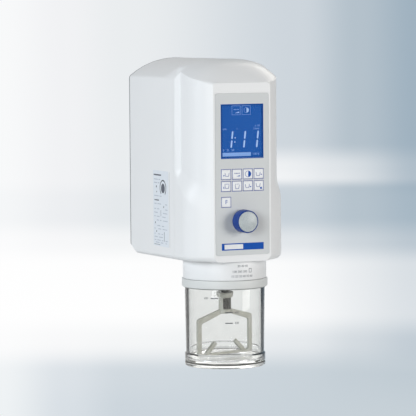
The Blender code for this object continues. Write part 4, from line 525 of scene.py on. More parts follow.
class Ink:
    """Flat print, drawn in millimetres in its own plane about a middle: u to the right, v up."""

    def __init__(self, middle=(0, 0)):
        self.shape = bmesh.new()
        self.middle = middle

    def area(self, points):
        """A filled outline."""
        self.shape.faces.new([self.shape.verts.new((u, v, 0)) for u, v in points])

    def bar(self, left, low, right, high):
        """A filled rectangle."""
        self.area([(left, low), (right, low), (right, high), (left, high)])

    def frame(self, left, low, right, high, width):
        """An outlined rectangle."""
        self.bar(left, low, right, low + width)
        self.bar(left, high - width, right, high)
        self.bar(left, low + width, left + width, high - width)
        self.bar(right - width, low + width, right, high - width)

    def line(self, start, end, width):
        """A straight stroke."""
        start = Vector(start)
        end = Vector(end)
        side = (end - start).orthogonal().normalized() * width / 2
        self.area([start + side, start - side, end - side, end + side])

    def arc(self, u, v, outer, inner, start=0.0, sweep=360.0, steps=40):
        """A ring, or a part of one, from an angle in degrees."""
        turn = Matrix.Rotation(math.radians(start), 3, "Z")
        centre = Vector((u, v, 0))
        ends = [self.shape.verts.new(centre + turn @ Vector((radius, 0, 0))) for radius in (inner, outer)]
        edge = self.shape.edges.new(ends)
        bmesh.ops.spin(
            self.shape,
            geom=ends + [edge],
            cent=centre,
            axis=(0, 0, 1),
            angle=math.radians(sweep),
            steps=steps,
            use_merge=sweep >= 360,
        )

    def disc(self, u, v, radius, start=0.0, sweep=360.0, steps=32):
        """A disc, or a slice of one."""
        count = steps if sweep >= 360 else steps + 1
        angles = [math.radians(start + sweep * step / steps) for step in range(count)]
        points = [(u + radius * math.cos(angle), v + radius * math.sin(angle)) for angle in angles]
        self.area(points)

    def words(self, text, u, v, height, align="CENTER"):
        """Plain letters or figures."""
        curve = bpy.data.curves.new("words", "FONT")
        curve.body = text
        curve.size = height
        curve.align_x = align
        curve.align_y = "CENTER"
        thing = bpy.data.objects.new("words", curve)
        bpy.context.collection.objects.link(thing)
        graph = bpy.context.evaluated_depsgraph_get()
        mesh = bpy.data.meshes.new_from_object(thing.evaluated_get(graph))
        mesh.transform(Matrix.Translation((u, v, 0)))
        self.shape.from_mesh(mesh)
        bpy.data.meshes.remove(mesh)
        bpy.data.curves.remove(curve)

    def lay(self, place, thickness=INK):
        """Give the print its thickness and bring it onto a surface."""
        bmesh.ops.remove_doubles(self.shape, verts=self.shape.verts, dist=INK_MERGE)
        raise_faces(self.shape, thickness)
        bmesh.ops.recalc_face_normals(self.shape, faces=self.shape.faces)
        u, v = self.middle
        for corner in self.shape.verts:
            corner.co = place(u + corner.co.x, v + corner.co.y, corner.co.z + INK_LIFT)
        return self.shape


def on_front(y):
    """Print on an upright face at y that looks forward."""

    def place(u, v, w):
        return Vector((u * MM, y - w * MM, UNDERSIDE + v * MM))

    return place


def on_side(x):
    """Print on the left side at x; u runs forward, and is 0 at the front face."""

    def place(u, v, w):
        return Vector((x - w * MM, FRONT_Y - u * MM, UNDERSIDE + v * MM))

    return place


def on_round(radius_at):
    """Print round the bowl's axis; u is in degrees from the front, towards the right."""

    def place(u, v, w):
        height = UNDERSIDE + v * MM
        radius = radius_at(height) + w * MM
        angle = math.radians(u)
        return Vector((AXIS.x + radius * math.sin(angle), AXIS.y - radius * math.cos(angle), height))

    return place


# Nodes


def feed(tree, socket, source):
    """Give a socket its source, which is a socket of another node or a plain value."""
    if isinstance(source, bpy.types.NodeSocket):
        tree.links.new(source, socket)
    else:
        socket.default_value = source


def add_node(tree, kind, *sources, **settings):
    """A new node with its settings, fed by sources from its first socket on."""
    node = tree.nodes.new(kind)
    for name, value in settings.items():
        setattr(node, name, value)
    for socket, source in zip(node.inputs, sources):
        feed(tree, socket, source)
    return node


def add_math(tree, operation, *sources):
    """A value worked out from one or two others."""
    return add_node(tree, "ShaderNodeMath", *sources, operation=operation).outputs["Value"]


def add_mix(tree, mask, first, second):
    """A colour between two, each of them plain or from other nodes."""
    mix = add_node(tree, "ShaderNodeMix", mask, data_type="RGBA")
    for socket, colour in ((mix.inputs[6], first), (mix.inputs[7], second)):
        feed(tree, socket, (*colour, 1) if isinstance(colour, tuple) else colour)
    return mix.outputs[2]


def add_place(tree):
    """Where a point is on its piece."""
    return add_node(tree, "ShaderNodeTexCoord").outputs["Object"]


def new_group(name, inputs, outputs):
    """A shader group with its sockets: the group, what it is given and what it makes."""
    group = bpy.data.node_groups.new(name, "ShaderNodeTree")
    for label, value in inputs:
        socket = group.interface.new_socket(label, in_out="INPUT", socket_type="NodeSocketFloat")
        socket.default_value = value
    for label in outputs:
        group.interface.new_socket(label, in_out="OUTPUT", socket_type="NodeSocketFloat")
    return group, add_node(group, "NodeGroupInput").outputs, add_node(group, "NodeGroupOutput").inputs


def add_noise(group, place, scale, detail, roughness=0.5):
    """A noise in a group."""
    noise = group.nodes.new("ShaderNodeTexNoise")
    noise.inputs["Detail"].default_value = detail
    noise.inputs["Roughness"].default_value = roughness
    group.links.new(place, noise.inputs["Vector"])
    group.links.new(scale, noise.inputs["Scale"])
    return noise.outputs["Fac"]


def make_moulded_grain():
    """Fine spark-eroded grain, with slow changes of tone."""
    inputs = [("Grain Scale", 900.0), ("Tone Scale", 14.0)]
    group, given, made = new_group("moulded_grain", inputs, ["Height", "Tone"])
    place = add_place(group)
    group.links.new(add_noise(group, place, given["Grain Scale"], 2.0), made["Height"])
    group.links.new(add_noise(group, place, given["Tone Scale"], 3.0), made["Tone"])


def make_brushed_streaks():
    """Streaks of a brushed or turned metal, drawn out along the small stretches."""
    inputs = [("Stretch X", 1.0), ("Stretch Y", 1.0), ("Stretch Z", 1.0), ("Grain Scale", 300.0)]
    group, given, made = new_group("brushed_streaks", inputs, ["Height", "Tone"])
    stretch = add_node(group, "ShaderNodeCombineXYZ", *(given["Stretch " + axis] for axis in "XYZ"))
    sources = (add_place(group), stretch.outputs["Vector"])
    scaled = add_node(group, "ShaderNodeVectorMath", *sources, operation="MULTIPLY")
    streak = add_noise(group, scaled.outputs["Vector"], given["Grain Scale"], 4.0, 0.6)
    for socket in ("Height", "Tone"):
        group.links.new(streak, made[socket])


def make_handled_patches():
    """Patches where hands have polished or dulled a surface."""
    inputs = [("Patch Scale", 30.0), ("From", 0.45), ("To", 0.65)]
    group, given, made = new_group("handled_patches", inputs, ["Mask"])
    patch = add_noise(group, add_place(group), given["Patch Scale"], 5.0, 0.55)
    sources = (patch, given["From"], given["To"])
    limit = add_node(group, "ShaderNodeMapRange", *sources, interpolation_type="SMOOTHSTEP")
    group.links.new(limit.outputs["Result"], made["Mask"])


def make_display_dots():
    """The fine square dots of a liquid-crystal display."""
    inputs = [("Dots per Metre", 1900.0), ("Gap Share", 0.14)]
    group, given, made = new_group("display_dots", inputs, ["Mask"])
    parts = add_node(group, "ShaderNodeSeparateXYZ", add_place(group)).outputs
    masks = []
    for axis in "XZ":
        count = add_math(group, "MULTIPLY", parts[axis], given["Dots per Metre"])
        masks.append(add_math(group, "GREATER_THAN", add_math(group, "FRACT", count), given["Gap Share"]))
    group.links.new(add_math(group, "MULTIPLY", *masks), made["Mask"])


# Finishes


class Finish:
    """A material in the making, with the nodes that its surface needs."""

    def __init__(self, name):
        self.material = bpy.data.materials.new(name)
        self.material.use_nodes = True
        self.tree = self.material.node_tree
        self.shader = self.tree.nodes["Principled BSDF"]
        self.output = self.tree.nodes["Material Output"]

    def group(self, name, **values):
        """Place a shared effect with its own values, and give what it makes."""
        node = add_node(self.tree, "ShaderNodeGroup", node_tree=bpy.data.node_groups[name])
        for label, value in values.items():
            node.inputs[label.replace("_", " ").title()].default_value = value
        return node.outputs

    def set(self, **values):
        """Set the shader's own sockets."""
        for label, value in values.items():
            self.shader.inputs[label.replace("_", " ").title().replace("Ior", "IOR")].default_value = value
        return self

    def shade(self, mask, first, second, socket="Base Color"):
        """A colour of the shader, by default its base colour, between two colours."""
        self.tree.links.new(add_mix(self.tree, mask, first, second), self.shader.inputs[socket])

    def rough(self, mask, low, high):
        """Roughness between two values."""
        limit = add_node(self.tree, "ShaderNodeMapRange", mask, 0.0, 1.0, low, high)
        self.tree.links.new(limit.outputs["Result"], self.shader.inputs["Roughness"])

    def bump(self, height, strength, distance=0.0002):
        """Relief from a height."""
        relief = self.tree.nodes.new("ShaderNodeBump")
        relief.inputs["Strength"].default_value = strength
        relief.inputs["Distance"].default_value = distance
        self.tree.links.new(height, relief.inputs["Height"])
        self.tree.links.new(relief.outputs["Normal"], self.shader.inputs["Normal"])

    def let_light_through(self):
        """Let shadow and diffuse rays pass a clear piece straight."""
        path = add_node(self.tree, "ShaderNodeLightPath").outputs
        passing = add_math(self.tree, "MAXIMUM", path["Is Shadow Ray"], path["Is Diffuse Ray"])
        clear = add_node(self.tree, "ShaderNodeBsdfTransparent").outputs["BSDF"]
        mix = add_node(self.tree, "ShaderNodeMixShader", passing, self.shader.outputs["BSDF"], clear)
        self.tree.links.new(mix.outputs["Shader"], self.output.inputs["Surface"])
        return self


def darker(base, share):
    """A colour dimmed to a share of itself."""
    return tuple(part * share for part in base)


def moulded(
    name, base, rough=0.42, spread=0.05, variety=0.96, grain=1100.0, relief=0.05, slow=12.0, metallic=0.0
):
    """A moulded plastic or casting: fine grain, slow changes of tone and of gloss."""
    finish = Finish(name)
    moulding = finish.group("moulded_grain", grain_scale=grain, tone_scale=slow)
    finish.shade(moulding["Tone"], base, darker(base, variety))
    finish.rough(moulding["Tone"], rough - spread, rough + spread)
    finish.bump(moulding["Height"], relief)
    return finish.set(metallic=metallic).material


def rubbery(name, base, rough, variety=0.9):
    """A rubber or a dull plastic with a close, even grain."""
    return moulded(name, base, rough, 0.06, variety, 900.0, 0.06, 40.0)


def brushed(
    name, base, rough, spread=0.08, variety=0.75, stretch=(1.0, 1.0, 0.04), grain=500.0, relief=0.12
):
    """A metal with streaks along the axis of its smallest stretch."""
    finish = Finish(name)
    streaks = finish.group(
        "brushed_streaks", stretch_x=stretch[0], stretch_y=stretch[1], stretch_z=stretch[2], grain_scale=grain
    )
    finish.shade(streaks["Tone"], base, darker(base, variety))
    finish.rough(streaks["Tone"], rough - spread, rough + spread)
    finish.bump(streaks["Height"], relief)
    return finish.set(metallic=1.0).material


def printed(name, base, rough=0.5):
    """Print: a thin layer of ink with small changes of cover."""
    finish = Finish(name)
    moulding = finish.group("moulded_grain", grain_scale=2400.0, tone_scale=260.0)
    finish.shade(moulding["Tone"], base, darker(base, 0.85))
    finish.rough(moulding["Height"], rough - 0.06, rough + 0.06)
    finish.bump(moulding["Height"], 0.04)
    return finish.set(specular_ior_level=0.12).material


def handled(name, base):
    """Knob plastic, polished in patches by fingers."""
    finish = Finish(name)
    moulding = finish.group("moulded_grain", grain_scale=1300.0, tone_scale=45.0)
    patches = finish.group("handled_patches", patch_scale=85.0)
    finish.shade(moulding["Tone"], base, darker(base, 0.80))
    finish.rough(patches["Mask"], 0.42, 0.30)
    finish.bump(moulding["Height"], 0.05)
    return finish.set(specular_ior_level=0.2).material


def turned_cap(name):
    """Grey cap with a close pattern of dots, and the fine rings of a turned face in its gloss."""
    finish = Finish(name)
    shift = add_node(finish.tree, "ShaderNodeMapping", add_place(finish.tree), (-KNOB.x, 0, -KNOB.z))
    place = shift.outputs["Vector"]
    rings = add_node(finish.tree, "ShaderNodeTexWave", place, wave_type="RINGS", rings_direction="Y")
    rings.inputs["Scale"].default_value = 900.0
    rings.inputs["Distortion"].default_value = 0.6
    rings.inputs["Detail"].default_value = 2.0
    dots = add_node(finish.tree, "ShaderNodeTexVoronoi", place)
    dots.inputs["Scale"].default_value = 620.0
    dots.inputs["Randomness"].default_value = 0.35
    finish.shade(dots.outputs["Distance"], tone(202, 208, 209), tone(150, 160, 164))
    finish.rough(rings.outputs["Fac"], 0.32, 0.44)
    finish.bump(rings.outputs["Fac"], 0.05, 0.0001)
    return finish.material


def clear_pane(name):
    """Clear window, with hair-fine wipe marks in its gloss."""
    finish = Finish(name)
    patches = finish.group("handled_patches", patch_scale=40.0)
    finish.shade(patches["Mask"], (0.97, 0.98, 1.0), (0.93, 0.95, 0.98))
    finish.rough(patches["Mask"], 0.02, 0.07)
    finish.set(transmission_weight=1.0, ior=1.12)
    return finish.let_light_through().material


def lit_display(name, base):
    """Blue ground of the display, lit from behind, with its dots."""
    finish = Finish(name)
    dots = finish.group("display_dots")
    slow = finish.group("moulded_grain", grain_scale=500.0, tone_scale=24.0)
    finish.shade(dots["Mask"], darker(base, 0.8), base)
    finish.rough(slow["Tone"], 0.30, 0.42)
    finish.shade(slow["Tone"], darker(base, 0.75), base, "Emission Color")
    return finish.set(emission_strength=0.35, specular_ior_level=0.05).material


def lit_signs(name, base):
    """Pale signs of the display."""
    finish = Finish(name)
    dots = finish.group("display_dots")
    finish.shade(dots["Mask"], darker(base, 0.80), base)
    moulding = finish.group("moulded_grain", grain_scale=900.0, tone_scale=50.0)
    finish.rough(moulding["Tone"], 0.35, 0.5)
    finish.shade(dots["Mask"], darker(base, 0.80), base, "Emission Color")
    return finish.set(emission_strength=0.04, specular_ior_level=0.1).material


def clear_bowl(name, tint):
    """Clear tough plastic, faintly dulled by use, that darkens where one looks along its wall."""
    finish = Finish(name)
    patches = finish.group("handled_patches", patch_scale=55.0)
    finish.shade(patches["Mask"], tint, darker(tint, 0.98))
    finish.rough(patches["Mask"], 0.015, 0.06)
    finish.set(transmission_weight=1.0, ior=1.54, specular_tint=(0.3, 0.3, 0.3, 1.0))
    inside = add_node(finish.tree, "ShaderNodeVolumeAbsorption", (0.93, 0.93, 0.915, 1), 4.0)
    finish.tree.links.new(inside.outputs["Volume"], finish.output.inputs["Volume"])
    return finish.let_light_through().material


def worn_paddle(name, base):
    """Paddle plastic with cloudy traces of plaster."""
    finish = Finish(name)
    patches = finish.group("handled_patches", patch_scale=70.0, **{"from": 0.40, "to": 0.70})
    moulding = finish.group("moulded_grain", grain_scale=900.0, tone_scale=60.0)
    finish.shade(patches["Mask"], base, tuple(0.8 * part + 0.2 * 0.75 for part in base))
    finish.rough(patches["Mask"], 0.42, 0.58)
    finish.bump(moulding["Height"], 0.08)
    return finish.material


def make_finishes():
    """All finishes, by name.

    After the colour, a moulded finish gives its roughness, how far that spreads, the share of tone left in
    darker places, its grain, relief and slow changes. A brushed one has its stretch before the grain.
    """
    colours = bpy.context.scene.mixer_colours
    white = tuple(colours.white)
    return {
        "white": moulded("white_moulding", white, 0.40, 0.05, 0.975, relief=0.03),
        "lid": moulded("lid_moulding", darker(white, 0.985), 0.40, 0.05, 0.97, relief=0.03, slow=20.0),
        "base": moulded("base_moulding", darker(white, 0.90), 0.46, 0.05, 0.95),
        "panel": moulded("panel_film", tuple(colours.panel), 0.46, 0.04, 0.97, 2600.0, 0.06, 22.0),
        "key": moulded("key_caps", tuple(colours.key), 0.40, 0.06, 0.955, slow=60.0),
        "grey": moulded("collar_moulding", tuple(colours.grey), 0.44, 0.06, 0.95, slow=25.0),
        "plate": moulded("side_plate_film", tone(221, 227, 234), 0.34, 0.05, 0.95, 1900.0, 0.02),
        "black": moulded("black_moulding", tone(30, 31, 33), 0.42, 0.07, 0.8, 1000.0, 0.12, 40.0),
        "board": moulded("board_laminate", tone(28, 92, 60), 0.40, 0.06, 0.8, 1500.0, 0.1, 120.0),
        "filter": moulded("filter_felt", tone(206, 190, 150), 0.9, 0.05, 0.8, 1400.0, 0.6, 200.0),
        "rubber": moulded("rubber_black", tone(34, 34, 35), 0.72, 0.08, 0.8, 800.0, 0.15, 40.0),
        "aluminium": moulded("cast_aluminium", tone(188, 190, 192), 0.45, 0.08, 0.85, 700.0, 0.2, 90.0, 1.0),
        # Painted shade: the dark band along the wall, standing in for the rear edge in shade
        "trim": rubbery("trim_rubber", tone(112, 115, 120), 0.6),
        # Painted shade: the dark ring in the bowl's foot, standing in for the dark line of the stepped foot
        "ring": rubbery("ring_rubber", tone(52, 52, 48), 0.55),
        # Painted shade: the dark band under the collar, standing in for the shade of the gap there
        "lip": rubbery("lip_rubber", tone(132, 134, 132), 0.6),
        "silicone": rubbery("silicone_seal", tone(196, 196, 192), 0.55, 0.93),
        "nylon": rubbery("nylon_gear", tone(226, 221, 206), 0.50, 0.93),
        "knob": handled("knob_moulding", tuple(colours.knob)),
        "cap": turned_cap("knob_cap_face"),
        "paddle": worn_paddle("paddle_moulding", tuple(colours.paddle)),
        "clear": clear_bowl("bowl_clear", tuple(colours.clear)),
        "pane": clear_pane("display_pane_clear"),
        "display": lit_display("display_ground", tuple(colours.display)),
        "digits": lit_signs("display_signs", tuple(colours.digits)),
        "faint_digits": lit_signs("display_faint_signs", tuple(colours.faint)),
        "blue_ink": printed("blue_ink", tuple(colours.blue)),
        "dark_ink": printed("dark_ink", tuple(colours.ink)),
        "line_ink": printed("key_line_ink", tone(104, 116, 188)),
        "sign_ink": printed("key_sign_ink", tone(112, 124, 178)),
        "grey_ink": printed("grey_ink", tone(98, 102, 112)),
        "faint_ink": printed("faint_ink", tone(190, 194, 194)),
        "plate_ink": printed("plate_ink", tone(186, 193, 204)),
        "display_ink": printed("display_ink", tone(30, 88, 168)),
        "white_ink": printed("white_ink", tone(236, 238, 240)),
        "steel": brushed("steel_turned", tone(170, 172, 174), 0.30),
        "streaked_steel": brushed(
            "steel_streaked", tone(104, 104, 102), 0.26, 0.10, 0.12, (1.0, 1.0, 0.02), 420.0, 0.2
        ),
        "plate_steel": brushed(
            "plate_steel", tone(186, 188, 190), 0.38, 0.06, 0.85, (0.03, 1.0, 1.0), 700.0, 0.06
        ),
        "bronze": brushed(
            "bronze_sintered", tone(176, 138, 84), 0.42, 0.08, 0.8, (1.0, 1.0, 0.3), 900.0, 0.1
        ),
        "motor": brushed("motor_case", tone(120, 122, 124), 0.36, 0.07, 0.8, (1.0, 1.0, 0.03), 400.0, 0.1),
        "core": brushed("transformer_core", tone(92, 84, 76), 0.5, 0.08, 0.7, (0.1, 0.1, 1.0), 1500.0, 0.3),
    }


# Housing


# Share of the nose's half width from which the dome's edge follows the step to the rear housing
DOME_EDGE = 0.86


class HousingForm:
    """The moulded housing's outline at any depth."""

    def __init__(self, size):
        self.size = size

    def widening(self, depth, end, run, power):
        """Half width that grows from the front face and settles after a run."""
        left = max(0.0, 1 - depth / run)
        start = self.size.front_width / 2
        return end - (end - start) * left**power

    def step_out(self, depth):
        """How far the nose has stepped out to the rear housing's width."""
        size = self.size
        return ease((depth - size.nose_run) / (size.seam - size.seam_straight - size.nose_run))

    def nose_half(self, depth):
        """Half width above the sweep."""
        nose = self.widening(depth, self.size.nose_width / 2, self.size.nose_run, self.size.nose_curve)
        return nose + (SIDE_X - nose) * self.step_out(depth)

    def lower_half(self, depth):
        """Half width under the sweep."""
        return self.widening(depth, SIDE_X, self.size.flare_run, self.size.flare_curve)

    def sweep(self, depth):
        """Height of the sweep."""
        return self.size.sweep_height + self.size.sweep_rise * min(depth / self.size.seam, 1.0)

    def blend(self, depth):
        """Height over which the flare turns into the nose."""
        share = min(depth / self.size.seam, 1.0)
        return self.size.sweep_blend + (self.size.sweep_end_blend - self.size.sweep_blend) * share

    def half_width(self, depth, height):
        """Half width at a depth and a height."""
        above = ease((height - self.sweep(depth)) / self.blend(depth) + 0.5)
        lower = self.lower_half(depth)
        return lower + (self.nose_half(depth) - lower) * above

    def arch(self, across, inset):
        """Height of the rear housing's top; across is 1 at the side and 0 at the ridge."""
        half = SIDE_X - inset
        shoulder = self.size.shoulder - inset
        radius = self.size.arch_radius - inset
        middle = half - shoulder
        base = TOP_HEIGHT - self.size.arch_radius
        x = across * half
        if x * (radius - shoulder) <= middle * radius:
            return base + math.sqrt(radius**2 - x**2)
        rise = base + math.sqrt((radius - shoulder) ** 2 - middle**2)
        return rise + math.sqrt(max(0.0, shoulder**2 - (x - middle) ** 2))

    def top(self, depth, across, inset):
        """A point on the top, which turns from the nose's dome into the rear arch behind the step."""
        size = self.size
        share = min(depth / size.seam, 1.0)
        edge = size.forehead + size.edge_rise * share
        ridge = size.forehead + (TOP_HEIGHT - size.forehead) * (1 - (1 - share) ** size.dome_curve)
        dome = edge + (ridge - edge) * (1 - across**size.dome_section) - inset
        crown = ease((depth - size.nose_run) / (size.seam + size.arch_fade - size.nose_run))
        near_side = ease((across - DOME_EDGE) / (1 - DOME_EDGE))
        blend = crown + (self.step_out(depth) - crown) * near_side
        height = dome + (self.arch(across, inset) - dome) * blend
        x = across * (self.nose_half(depth) - inset)
        corner = size.corner * max(0.0, 1 - depth / size.corner_run)
        past = max(0.0, x - self.nose_half(depth) + inset + corner)
        return Vector((x, height - corner + math.sqrt(max(0.0, corner**2 - past**2))))

    def skirt(self, depth, inset):
        """The chamfered skirt along the side's lower edge, from its foot at the underside up to the side."""
        size = self.size
        underside = size.rear_lift * max(0.0, 1 - (WALL_DEPTH - depth) / size.rear_lift_length)
        fall = (size.skirt_rear_drop - size.skirt_front_drop) * depth / WALL_DEPTH
        bottom = underside - size.skirt_front_drop - fall
        side = self.lower_half(depth) - inset
        corners = [
            (side - size.skirt_width, (bottom if depth < size.wall else underside) + inset, 0),
            (side - size.chamfer_width, bottom + inset, size.skirt_round),
            (side, bottom + inset + size.chamfer_height, size.skirt_round),
            (side, self.sweep(depth) - self.blend(depth) / 2, 0),
        ]
        return rounded_line(corners, SKIRT_STEPS)[:-1]

    def outline(self, depth, inset=0.0):
        """The whole outline at a depth, up the right side and down the left."""
        points = self.skirt(depth, inset)
        for step in range(SWEEP_STEPS + 1):
            height = self.sweep(depth) + (step / SWEEP_STEPS - 0.5) * self.blend(depth)
            points.append(Vector((self.half_width(depth, height) - inset, height)))
        for step in range(TOP_STEPS + 1):
            points.append(self.top(depth, math.cos(math.pi / 2 * step / TOP_STEPS), inset))
        return points + [Vector((-point.x, point.y)) for point in reversed(points[:-1])]

    def edge_marks(self):
        """Where the dome's two side edges stand in an outline."""
        right = SKIRT_POINTS + SWEEP_STEPS + 1
        return right, 2 * (right + TOP_STEPS) - right

    def nose_depths(self, start, rim_fall=0.0):
        """Depths of the front shell's outlines, close together at the front and at the step."""
        size = self.size
        run = size.seam - rim_fall - size.nose_run
        depths = [start]
        for step in range(1, NOSE_STEPS + 1):
            depths.append(start + (size.nose_run - start) * (step / NOSE_STEPS) ** NOSE_SPREAD)
        for step in range(1, STEP_STEPS + 1):
            depths.append(size.nose_run + run * step / STEP_STEPS)
        return depths

    def rear_depths(self, rim_fall=0.0):
        """Depths of the rear shell's outlines."""
        size = self.size
        start = size.seam + GAP + rim_fall
        depths = [start + size.arch_fade * step / FADE_STEPS for step in range(FADE_STEPS + 1)]
        return depths + [WALL_DEPTH - size.rear_lift_length, REAR_DEPTH - rim_fall]


def outline_rings(shape, form, depths, inset=0.0):
    """The housing's outlines at some depths, as rings of corners with their edges."""
    rings = []
    for depth in depths:
        ring = [shape.verts.new(at(point.x, depth, point.y)) for point in form.outline(depth, inset)]
        for pair in neighbours(ring):
            shape.edges.new(pair)
        rings.append(ring)
    return rings


def ring_edges(shape, ring):
    """The edges of a ring of corners."""
    return [shape.edges.get(pair) for pair in neighbours(ring)]


def bridge(shape, rings, around=False):
    """Join outlines one after the other, and the last to the first where they go around."""
    for front, back in neighbours(rings) if around else zip(rings, rings[1:]):
        bmesh.ops.bridge_loops(shape, edges=ring_edges(shape, front) + ring_edges(shape, back))


def base_opening(size):
    """Tool for the opening in the underside."""
    low = at(-size.base_half, size.base_front, -2 * size.wall)
    high = at(size.base_half, WALL_DEPTH - size.base_rear, 2 * size.wall)
    shape = block(low, high)
    middle = (low.y + high.y) / 2
    upright = [line for line in shape.edges if runs_along(line, 2)]
    front = [line for line in upright if line.verts[0].co.y < middle]
    rear = [line for line in upright if line.verts[0].co.y > middle]
    soften(shape, front, size.base_front_round, 10)
    return soften(shape, rear, size.base_rear_round, 6)


class MIXER_OT_front_housing(bpy.types.Operator):
    """Front shell with its nose, dome, sweep and flare, cut for panel, display, keys and knob"""

    bl_idname = "mixer.front_housing"
    bl_label = "Front housing"

    def execute(self, context):
        size = context.scene.mixer_housing
        form = HousingForm(size)
        shape = bmesh.new()
        outer = outline_rings(shape, form, form.nose_depths(0.0))
        inner = outline_rings(shape, form, form.nose_depths(size.wall, RIM_FALL), size.wall)
        bridge(shape, outer + inner[::-1])
        for ring in (outer[0], inner[0]):
            bmesh.ops.contextual_create(shape, geom=ring_edges(shape, ring))
        crease = ring_edges(shape, outer[0])
        for mark in form.edge_marks():
            for front, back in zip(outer[:NOSE_STEPS], outer[1 : NOSE_STEPS + 1]):
                crease.append(shape.edges.get((front[mark], back[mark])))
        soften(shape, crease, size.edge_round, 4)
        tidy(shape)
        piece = add_piece("front_shell", shape, "housing", "white", ["front_housing"])
        carve(piece, *self.openings(context))
        even_normals(piece)
        return {"FINISHED"}

    def openings(self, context):
        """Tools for the panel's recess and for all that goes through the wall."""
        size = context.scene.mixer_housing
        panel = context.scene.mixer_front
        low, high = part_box("keypad_panel")
        recess = block(
            (low.x - GAP, low.y - size.wall, low.z - GAP),
            (high.x + GAP, high.y + GAP, high.z + GAP),
            along=1,
            corner=panel.panel_corner,
        )
        front = FRONT_Y - size.wall
        rear = FRONT_Y + 2 * size.wall
        low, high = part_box("lcd_module")
        through = block((low.x - GAP, front, low.z - GAP), (high.x + GAP, rear, high.z + GAP))
        half = panel.key_size / 2 + GAP
        corner = Vector((half, 2 * size.wall, half))
        for key in KEYS:
            middle = key_middle(key)
            merge_shapes(through, block(middle - corner, middle + corner))
        radius = panel.shaft_opening
        profile = [(0, front), (radius, front), (radius, rear), (0, rear)]
        shaft = turned(profile, KNOB, "Y", HOLE_STEPS, closed=False)
        return recess, merge_shapes(through, shaft), base_opening(size)


class MIXER_OT_rear_housing(bpy.types.Operator):
    """Rear shell with its arched top, cut for the base plate and the switch, and a dark band of painted shade
    along the wall
    """

    bl_idname = "mixer.rear_housing"
    bl_label = "Rear housing"

    def execute(self, context):
        size = context.scene.mixer_housing
        form = HousingForm(size)
        shape = bmesh.new()
        outer = outline_rings(shape, form, form.rear_depths())
        inner = outline_rings(shape, form, form.rear_depths(RIM_FALL), size.wall)
        bridge(shape, outer + inner[::-1], around=True)
        tidy(shape)
        piece = add_piece("rear_shell", shape, "housing", "white", ["rear_housing"])
        low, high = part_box("switch_body")
        inset = size.switch_overlap - GAP
        switch = block(
            (SIDE_X - 3 * size.wall, low.y + inset, low.z + inset),
            (SIDE_X + 2 * size.wall, high.y - inset, high.z - inset),
        )
        carve(piece, base_opening(size), switch)
        even_normals(piece)
        # Painted shade: a dark band along the wall stands in for the rear edge falling into shade
        shape = bmesh.new()
        start = REAR_DEPTH - size.trim
        outer = outline_rings(shape, form, (start, REAR_DEPTH), -size.trim_lift)
        inner = outline_rings(shape, form, (start + RIM_FALL, REAR_DEPTH - RIM_FALL), size.wall / 2)
        bridge(shape, outer + inner[::-1], around=True)
        add_piece("wall_trim", tidy(shape), "housing", "trim")
        return {"FINISHED"}


# Panel


def key_middle(key):
    """Middle of a key at the front face."""
    low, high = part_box(key)
    return Vector(((low.x + high.x) / 2, FRONT_Y, (low.z + high.z) / 2))


def in_print(point):
    """Where a point of the front is in the print's own plane."""
    return point.x / MM, (point.z - UNDERSIDE) / MM


def key_block(middle, half, front, rear, corner=0.0):
    """A square block at a key's place, from one depth to another."""
    low = (middle.x - half, front, middle.z - half)
    high = (middle.x + half, rear, middle.z + half)
    return block(low, high, along=1, corner=corner)


def draw_bowl_sign(ink, u, v, size=1.5, width=0.75):
    """A small bowl in outline."""
    ink.line((u - 2.2 * size, v + 1.4 * size), (u - 1.5 * size, v - 2.0 * size), width)
    ink.line((u + 2.2 * size, v + 1.4 * size), (u + 1.5 * size, v - 2.0 * size), width)
    ink.line((u - 1.7 * size, v - 2.0 * size), (u + 1.7 * size, v - 2.0 * size), width)


def draw_arrow(ink, u, v):
    """A small solid arrow to the right."""
    ink.area([(u - 1.2, v - 1.2), (u + 1.6, v), (u - 1.2, v + 1.2)])


def draw_key_sign(lines, solid, key):
    """The pictogram on a key, in pale lines with a solid mark, about the key's middle."""
    if key == "key_f":
        solid.words("F", 0, 0, 8.4)
    if key == "key_1":
        draw_bowl_sign(lines, 1.3, 0.4)
        solid.disc(-3.6, -1.6, 1.0)
    if key == "key_2":
        for step in range(4):
            lines.bar(-4.2 + 2.2 * step, 0.6, -2.7 + 2.2 * step, 2.0)
        solid.area([(-1.4, -3.2), (4.4, -3.2), (4.4, -1.4)])
    if key == "key_3":
        lines.arc(0, 0, 4.6, 3.9, 90, 180)
        solid.disc(0.3, 0, 4.6, -90, 180)
    if key == "key_4":
        draw_bowl_sign(lines, -1.2, 0.2)
        draw_arrow(lines, 4.0, -1.2)
    if key == "key_5":
        draw_bowl_sign(lines, 1.0, 0.2)
        lines.bar(-2.8, 3.0, 4.6, 3.7)
        solid.bar(-4.4, -3.4, -3.2, -0.2)
    if key == "key_6":
        draw_bowl_sign(lines, 0, -0.6)
        for step in range(3):
            lines.bar(-3.2 + 2.5 * step, 2.4, -1.9 + 2.5 * step, 3.3)
    if key == "key_7":
        draw_bowl_sign(lines, -1.2, 0.4)
        draw_arrow(solid, 3.8, -1.2)
    if key == "key_8":
        draw_bowl_sign(lines, -1.2, 1.2)
        solid.disc(3.2, -3.6, 1.6)


